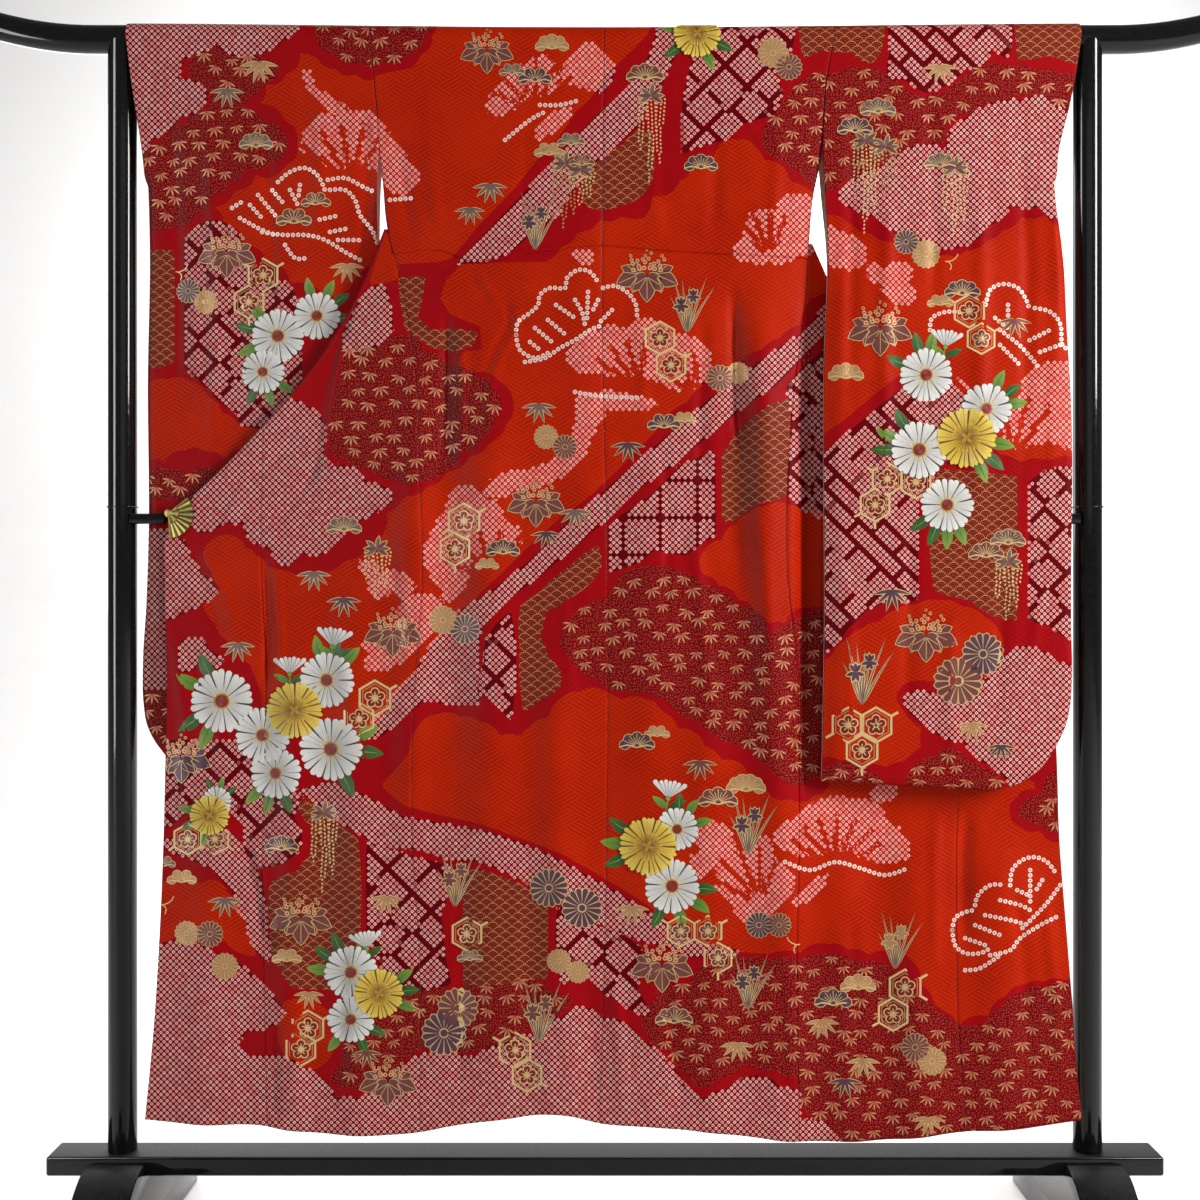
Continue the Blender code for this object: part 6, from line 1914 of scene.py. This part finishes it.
GILDED = {
    "left": {
        "flowers": [(188, 291, 12, "plum"), (206, 302, 12, "gold")],
        "cells": [(263, 275, 15, (1, 5)), (249, 302, 15, (3,))],
        "pines": [(256, 140, 34, "smoke", 4), (316, 199, 30, "mauve", 3),
                  (294, 216, 36, "mauve", 3), (222, 722, 34, "mauve", 4),
                  (300, 690, 30, "gold", 3)],
        "wisteria": [], "irises": [],
        "paulownias": [(227, 250, 26, "mauve"), (346, 566, 26, "mauve")],
        "sprays": [(259, 62, 20, "gold"), (227, 89, 18, "smoke"), (347, 264, 18, "gold"),
                   (330, 726, 18, "gold"), (268, 718, 18, "smoke")],
        "tendrils": [(180, 272, 16, 1)],
    },
    "body": {
        "flowers": [(773, 53, 15, "gold"), (789, 67, 13, "mauve"), (720, 378, 13, "mauve"),
                    (738, 373, 11, "gold"), (546, 437, 12, "gold"), (565, 447, 12, "mauve"),
                    (443, 620, 14, "gold"), (465, 629, 15, "plum"), (187, 933, 12, "gold"),
                    (210, 934, 13, "mauve"), (225, 966, 13, "gold"), (458, 1008, 20, "mauve"),
                    (444, 1033, 22, "plum"), (549, 888, 19, "plum"), (582, 908, 20, "plum"),
                    (559, 961, 12, "gold"), (578, 972, 11, "gold"), (759, 925, 13, "plum"),
                    (779, 925, 12, "mauve"), (915, 1047, 14, "mauve"), (932, 1061, 14, "gold")],
        "cells": [(660, 338, 15, (4, 5)), (671, 365, 15, (1,)), (464, 521, 16, (1, 4)),
                  (455, 549, 15, (3,)), (375, 698, 16, (1,)), (359, 719, 15, (4,)),
                  (681, 931, 14, (5,)), (708, 931, 14, (1,)), (718, 958, 14, (3,)),
                  (515, 1050, 16, (5,)), (527, 1075, 15, (2,)), (905, 987, 16, (1, 2)),
                  (893, 1014, 15, (4,)), (188, 839, 14, (4,)), (215, 839, 14, (2,)),
                  (308, 1028, 16, (1,)), (301, 1049, 15, (4,)), (467, 934, 15, (1,))],
        "pines": [(552, 42, 34, "gold", 4), (512, 69, 26, "smoke", 3), (535, 75, 34, "plum", 3),
                  (645, 72, 38, "mauve", 4), (701, 162, 34, "plum", 4), (549, 149, 30, "gold", 3),
                  (571, 139, 28, "smoke", 3), (582, 160, 26, "mauve", 3),
                  (664, 421, 34, "plum", 3), (684, 417, 24, "gold", 3), (503, 547, 34, "plum", 4),
                  (487, 563, 24, "gold", 3), (344, 524, 36, "smoke", 4),
                  (637, 740, 36, "plum", 4), (657, 731, 26, "gold", 3), (746, 783, 40, "gold", 5),
                  (718, 796, 40, "mauve", 4), (282, 843, 34, "plum", 4), (182, 876, 30, "gold", 3),
                  (164, 861, 24, "smoke", 3), (674, 1015, 38, "mauve", 4),
                  (858, 982, 36, "gold", 4), (833, 997, 38, "plum", 4), (470, 955, 26, "smoke", 3),
                  (287, 955, 30, "gold", 3)],
        "wisteria": [(651, 98, 184, "pale"), (565, 166, 230, "gold"), (581, 172, 207, "pale"),
                     (377, 551, 600, "pale"), (324, 815, 894, "pale")],
        "irises": [(535, 227, 24, "plum"), (687, 310, 24, "plum"), (455, 884, 24, "mauve"),
                   (539, 1018, 26, "mauve"), (748, 987, 24, "plum"), (748, 830, 26, "plum"),
                   (895, 946, 24, "gold")],
        "paulownias": [(487, 48, 24, "mauve"), (647, 272, 28, "mauve"), (536, 499, 26, "mauve"),
                       (393, 629, 26, "mauve"), (182, 755, 26, "plum"), (301, 915, 28, "mauve"),
                       (388, 1078, 26, "mauve"), (662, 962, 28, "mauve")],
        "sprays": [(490, 184, 18, "smoke"), (470, 208, 16, "smoke"), (539, 404, 18, "smoke"),
                   (628, 443, 18, "plum"), (575, 510, 18, "smoke"), (546, 532, 16, "plum"),
                   (314, 572, 18, "smoke"), (344, 598, 18, "plum"), (238, 643, 18, "smoke"),
                   (700, 761, 18, "mauve"), (632, 906, 18, "gold"), (225, 898, 18, "smoke"),
                   (386, 896, 18, "gold"), (367, 1051, 16, "mauve"), (309, 992, 16, "gold"),
                   (863, 1059, 18, "gold"), (845, 1079, 18, "plum"), (928, 1117, 18, "gold"),
                   (822, 1020, 18, "gold"), (737, 1043, 18, "gold")],
        "tendrils": [(165, 905, 18, 1), (795, 945, 16, -1), (420, 1010, 16, -1)],
    },
    "right": {
        "flowers": [(906, 242, 12, "plum"), (926, 254, 14, "gold"), (983, 654, 21, "plum"),
                    (958, 681, 24, "mauve")],
        "cells": [(969, 311, 15, (5,)), (981, 339, 14, (1,)), (887, 479, 15, (5,)),
                  (916, 482, 15, (1,)), (875, 505, 15, (3, 4)), (848, 725, 16, (4,)),
                  (876, 725, 16, (1,)), (862, 750, 16, (3,))],
        "pines": [(878, 106, 36, "smoke", 4), (855, 125, 36, "plum", 4), (940, 160, 32, "smoke", 4),
                  (962, 288, 36, "plum", 4), (940, 300, 26, "gold", 3), (846, 371, 36, "gold", 4),
                  (1008, 537, 36, "smoke", 4), (986, 550, 36, "mauve", 4)],
        "wisteria": [(866, 143, 235, "pale"), (886, 149, 198, "gold"), (955, 170, 237, "pale"),
                     (1008, 564, 622, "pale")],
        "irises": [(862, 678, 28, "plum")],
        "paulownias": [(880, 325, 29, "mauve"), (926, 632, 28, "mauve")],
        "sprays": [(940, 65, 18, "gold"), (1015, 319, 18, "mauve"), (892, 590, 20, "plum"),
                   (972, 723, 18, "gold"), (1001, 745, 16, "plum")],
        "tendrils": [(950, 262, 16, 1)],
    },
}
# Pines drawn in outline by single rows of tied rings.
RING_ROWS = {
    "left": [
        [(278, 182), (290, 172), (305, 168), (318, 176), (325, 190)],
        [(328, 180), (345, 178), (360, 185), (375, 192)],
        [(330, 190), (345, 190), (355, 200), (360, 215), (372, 230), (378, 245)],
        [(262, 232), (285, 235), (305, 235), (325, 240), (345, 252), (360, 260)],
        [(232, 208), (245, 200)], [(240, 218), (258, 228), (275, 235)], [(250, 205), (262, 218)],
        [(258, 195), (275, 215)], [(272, 190), (285, 205)], [(290, 190), (298, 205)],
        [(300, 185), (298, 200)], [(320, 220), (340, 215)], [(330, 232), (350, 228)],
        [(338, 240), (362, 240)], [(285, 245), (295, 258), (308, 258)],
    ],
    "body": [
        [(390, 200), (415, 198)],
        [(516, 335), (518, 322), (530, 313), (538, 305), (540, 295), (550, 288), (565, 288),
         (567, 278), (578, 270), (590, 272), (598, 282)],
        [(603, 288), (615, 286), (628, 293), (636, 305), (637, 318)],
        [(516, 335), (520, 350), (535, 358), (550, 352)],
        [(525, 362), (545, 358), (560, 348), (575, 340), (590, 330), (600, 326)],
        [(556, 305), (575, 318)], [(548, 320), (566, 335)], [(535, 328), (552, 342)],
        [(530, 342), (540, 350)], [(575, 300), (582, 312), (585, 325)], [(588, 292), (587, 320)],
        [(598, 300), (592, 312)], [(612, 310), (600, 322)],
        [(1010, 885), (1012, 870), (1022, 860), (1035, 857), (1047, 862), (1055, 872)],
        [(975, 905), (978, 895), (990, 885), (1005, 885)],
        [(952, 930), (955, 918), (965, 912), (975, 910)],
        [(952, 930), (955, 945), (965, 953), (980, 953), (990, 948)],
        [(990, 955), (1010, 950), (1020, 938), (1040, 925), (1060, 915)],
        [(965, 970), (980, 968), (1000, 955)], [(1000, 900), (1020, 905), (1030, 910)],
        [(985, 915), (1010, 920), (1028, 925)], [(975, 925), (1000, 935)],
        [(965, 938), (985, 945)], [(1030, 870), (1030, 905)], [(1017, 890), (1028, 895)],
        [(1042, 880), (1036, 890)], [(1060, 885), (1045, 905), (1020, 930)],
        [(785, 862), (810, 870), (835, 862), (860, 868), (885, 875), (908, 868)],
        [(540, 105), (560, 105), (580, 100)], [(505, 140), (530, 120), (545, 112)],
        [(575, 392), (600, 396), (640, 398)],
    ],
    "right": [
        [(985, 305), (990, 290), (1003, 284), (1018, 288), (1027, 300), (1030, 310)],
        [(1035, 308), (1050, 312), (1060, 325), (1062, 345), (1072, 350)],
        [(930, 330), (932, 318), (945, 312), (960, 312)], [(1008, 305), (1008, 325)],
        [(995, 318), (1010, 330)], [(1030, 340), (1050, 330)], [(1040, 352), (1060, 345)],
        [(1000, 330), (1025, 350), (1040, 370)], [(1000, 345), (1020, 365)],
    ],
}

# Each panel's cut: the width and length of its straight piece and the area that is left of it
# where it tapers, in metres, then what it hangs from.
CUTS = {
    "back_left_silk": (0.330, 1.600, 0.442, "rail_lacquered"),
    "back_right_silk": (0.330, 1.610, 0.450, "rail_lacquered"),
    "front_left_silk": (0.330, 1.280, 0.252, "fan_clip_left"),
    "okumi_left_silk": (0.170, 0.990, 0.133, "fan_clip_left"),
    "front_right_silk": (0.345, 1.270, 0.263, "fan_clip_right"),
    "okumi_right_silk": (0.165, 0.980, 0.131, "fan_clip_right"),
    "front_left_inner_silk": (0.236, 0.800, 0.076, "rail_lacquered"),
    "front_right_inner_silk": (0.229, 0.800, 0.068, "rail_lacquered"),
    "collar_silk": (0.057, 1.760, 0.098, "rail_lacquered"),
    "sleeve_left_silk": (0.345, 2.210, 0.719, "rail_lacquered"),
    "sleeve_right_silk": (0.350, 2.210, 0.744, "rail_lacquered"),
}
GRASS_X, GRASS_Y = 24, 14.5
worked = {name: [] for name in CUTS}
for place, group, names, near in (
        ("body", "body", FRONT_OF_BODY, True), ("left_sleeve", "left", ["sleeve_left_silk"], True),
        ("right_sleeve", "right", ["sleeve_right_silk"], True),
        ("left_sleeve_far", "left", ["sleeve_left_silk"], False),
        ("right_sleeve_far", "right", ["sleeve_right_silk"], False),
        ("inner_fronts", "body", ["front_left_inner_silk", "front_right_inner_silk"], False)):
    floss, gilt, dye = (Layer(names, near) for _ in range(3))
    work, gold = STITCHED[group], GILDED[group]
    for k, (flower, angles) in enumerate(work["leaves"]):
        green_leaves(floss, *flower, angles, k)
    for k, flower in enumerate(work["white"]):
        chrysanthemum(floss, *flower, 7.0 * k, 0.6 + 0.35 * (k % 3))
    for k, flower in enumerate(work["yellow"]):
        yellow_flower(floss, *flower, 5.0 * k, 2.2)
    for k, flower in enumerate(work["half"]):
        half_flower(floss, *flower, 8.0 * (k % 3 - 1))
    for make, kind in ((tortoise_cell, "cells"), (spray, "sprays"), (iris, "irises"),
                       (wisteria, "wisteria"), (pine_cloud, "pines"),
                       (paulownia, "paulownias"), (outline_flower, "flowers"),
                       (tendril, "tendrils")):
        for args in gold[kind]:
            make(gilt, *args)
    for row in RING_ROWS[group]:
        ring_row(dye, row)
    # Small sprays of bamboo grass all over the grained grounds, in staggered rows.
    chance = np.random.default_rng(5)
    spots = np.array([(px + GRASS_X / 2 * (row % 2) + chance.uniform(-5, 5),
                       py + chance.uniform(-4, 4))
                      for row, py in enumerate(np.arange(16, 1150, GRASS_Y))
                      for px in np.arange(120, 1100, GRASS_X)])
    depth = ground_field(GROUNDS[group]["komon"], spots[:, 0], spots[:, 1])[0]
    for px, py in spots[depth > 4.0]:
        grass(gilt, px, py - 4, chance.uniform(8.5, 11), chance.uniform(-22, 22))
    made = [floss.settle("flowers_stitched_" + place, floss_silk),
            gilt.settle("motifs_gilded_" + place, gilding),
            dye.settle("rings_tied_" + place, gilding)]
    for name in names:
        worked[name] += made

# The clips: stamped brass in the form of an opened folding fan, its front jaw pleated and dark
# in the pleats, its back jaw plain, and both riveted at the heel.
brass, tree, shader = new_material("aged brass", Metallic=1.0)
spot = Num.node(tree, "ShaderNodeTexCoord", output=3)
pleat, _, _ = attribute(tree, "pleat")
stain = noise(tree, spot, 260.0, 4.0)
feed(shader, Base_Color=mix((pleat * 1.1 + stain * 0.5 - 0.3).over(0.5, 1.0), srgb(70, 60, 26),
                            srgb(176, 160, 98)),
     Roughness=0.30 + stain * 0.25, Normal=bump(stain, 0.0002, 0.4))
FAN_X, FAN_Z, FAN_RADIUS, FAN_RIBS = 0.610, 1.036, 0.034, 9
FAN_START, FAN_SPREAD = -88, 128
FAN_HEEL, FAN_RIM = 0.0125, 0.0009
CLIP_GAP = 0.0005
# The rivet's outline, as the columns radius and depth from the cloth's front.
RIVET = [(0.0, -0.0052), (0.0034, -0.0050), (0.0052, -0.0040), (0.0060, -0.0022),
         (0.0060, 0.0070), (0.0, 0.0072)]
for side, label in SIDES:
    cloth_y = float(hang_depth(np.array([side * 0.59]), np.array([1.03]))[0])
    bm = bmesh.new()
    pleats = bm.verts.layers.float_vector.new("pleat")

    def jaw(inner, outer, y, wall, depth, ribs):
        """A fan-shaped plate between two radii, pleated to a depth, as thick as its wall."""
        cells = ribs * 6
        made = bmesh.ops.create_grid(bm, x_segments=cells, y_segments=6, size=0.5)["verts"]
        front = list({face for vert in made for face in vert.link_faces})
        grown = bmesh.ops.extrude_face_region(bm, geom=front, use_keep_orig=True)["geom"]
        for vert in made + only(bmesh.types.BMVert, grown):
            turn = math.radians(FAN_START + FAN_SPREAD * (vert.co.x + 0.5))
            share = vert.co.y + 0.5
            ridge = abs(((vert.co.x + 0.5) * ribs) % 1.0 * 2 - 1)
            reach = inner + (outer - inner) * share + FAN_RIM * (1 - ridge) * share
            vert[pleats] = (ridge, 0, 0)
            place_y = y + depth * (1 - ridge) * (0.4 + 0.6 * share)
            if vert not in made:
                place_y = y + wall
            vert.co = (-side * reach * math.cos(turn), place_y, reach * math.sin(turn))

    front_y = cloth_y - WALL / 2 - CLIP_GAP
    jaw(FAN_HEEL, FAN_RADIUS, front_y - 0.0035, 0.0035, 0.0018, FAN_RIBS)
    jaw(FAN_HEEL, 0.0140, front_y - 0.0046, 0.0044, 0.0, 3)
    jaw(0.0030, FAN_HEEL, front_y - 0.0036, 0.0034, 0.0, 3)
    jaw(0.0040, FAN_RADIUS * 0.8, cloth_y + WALL / 2 + CLIP_GAP, 0.0018, 0.0, 3)
    line = [bm.verts.new((reach, front_y + depth, 0)) for reach, depth in RIVET]
    edges = [bm.edges.new(pair) for pair in zip(line, line[1:])]
    bmesh.ops.spin(bm, geom=line + edges, cent=(0, 0, 0), axis=(0, 1, 0), angle=2 * math.pi,
                   steps=28, use_merge=True)
    for vert in bm.verts:
        if math.hypot(vert.co.x, vert.co.z) < RIVET[-2][0] + 0.0001:
            vert[pleats] = (0.9, 0, 0)
    bmesh.ops.remove_doubles(bm, verts=bm.verts[:], dist=0.00001)
    bmesh.ops.recalc_face_normals(bm, faces=bm.faces[:])
    bmesh.ops.translate(bm, vec=(side * FAN_X, 0, FAN_Z), verts=bm.verts[:])
    finished("fan_clip_brass_" + label, bm, brass, "brass", "fan_clip_" + label, smooth_angle=25)

# The cord rings: thin black braided cord, tied tight round each post just over its arm. Each is
# a closed loop that lies on the post.
RING_HEIGHT, RING_RADIUS, CORD_RADIUS = 1.046, POST_RADIUS + 0.0014, 0.0009
for side, label in SIDES:
    bm = bmesh.new()
    for vert in bmesh.ops.create_circle(bm, segments=10, radius=CORD_RADIUS)["verts"]:
        vert.co = (RING_RADIUS + vert.co.x, 0, RING_HEIGHT + vert.co.y)
    bmesh.ops.spin(bm, geom=bm.verts[:] + bm.edges[:], cent=(0, 0, 0), axis=(0, 0, 1),
                   angle=2 * math.pi, steps=48, use_merge=True)
    bmesh.ops.remove_doubles(bm, verts=bm.verts[:], dist=0.00001)
    bmesh.ops.recalc_face_normals(bm, faces=bm.faces[:])
    bmesh.ops.translate(bm, vec=(side * POST_X, 0, 0), verts=bm.verts[:])
    finished("post_ring_cord_" + label, bm, lacquer, "cord", "post_ring_" + label)
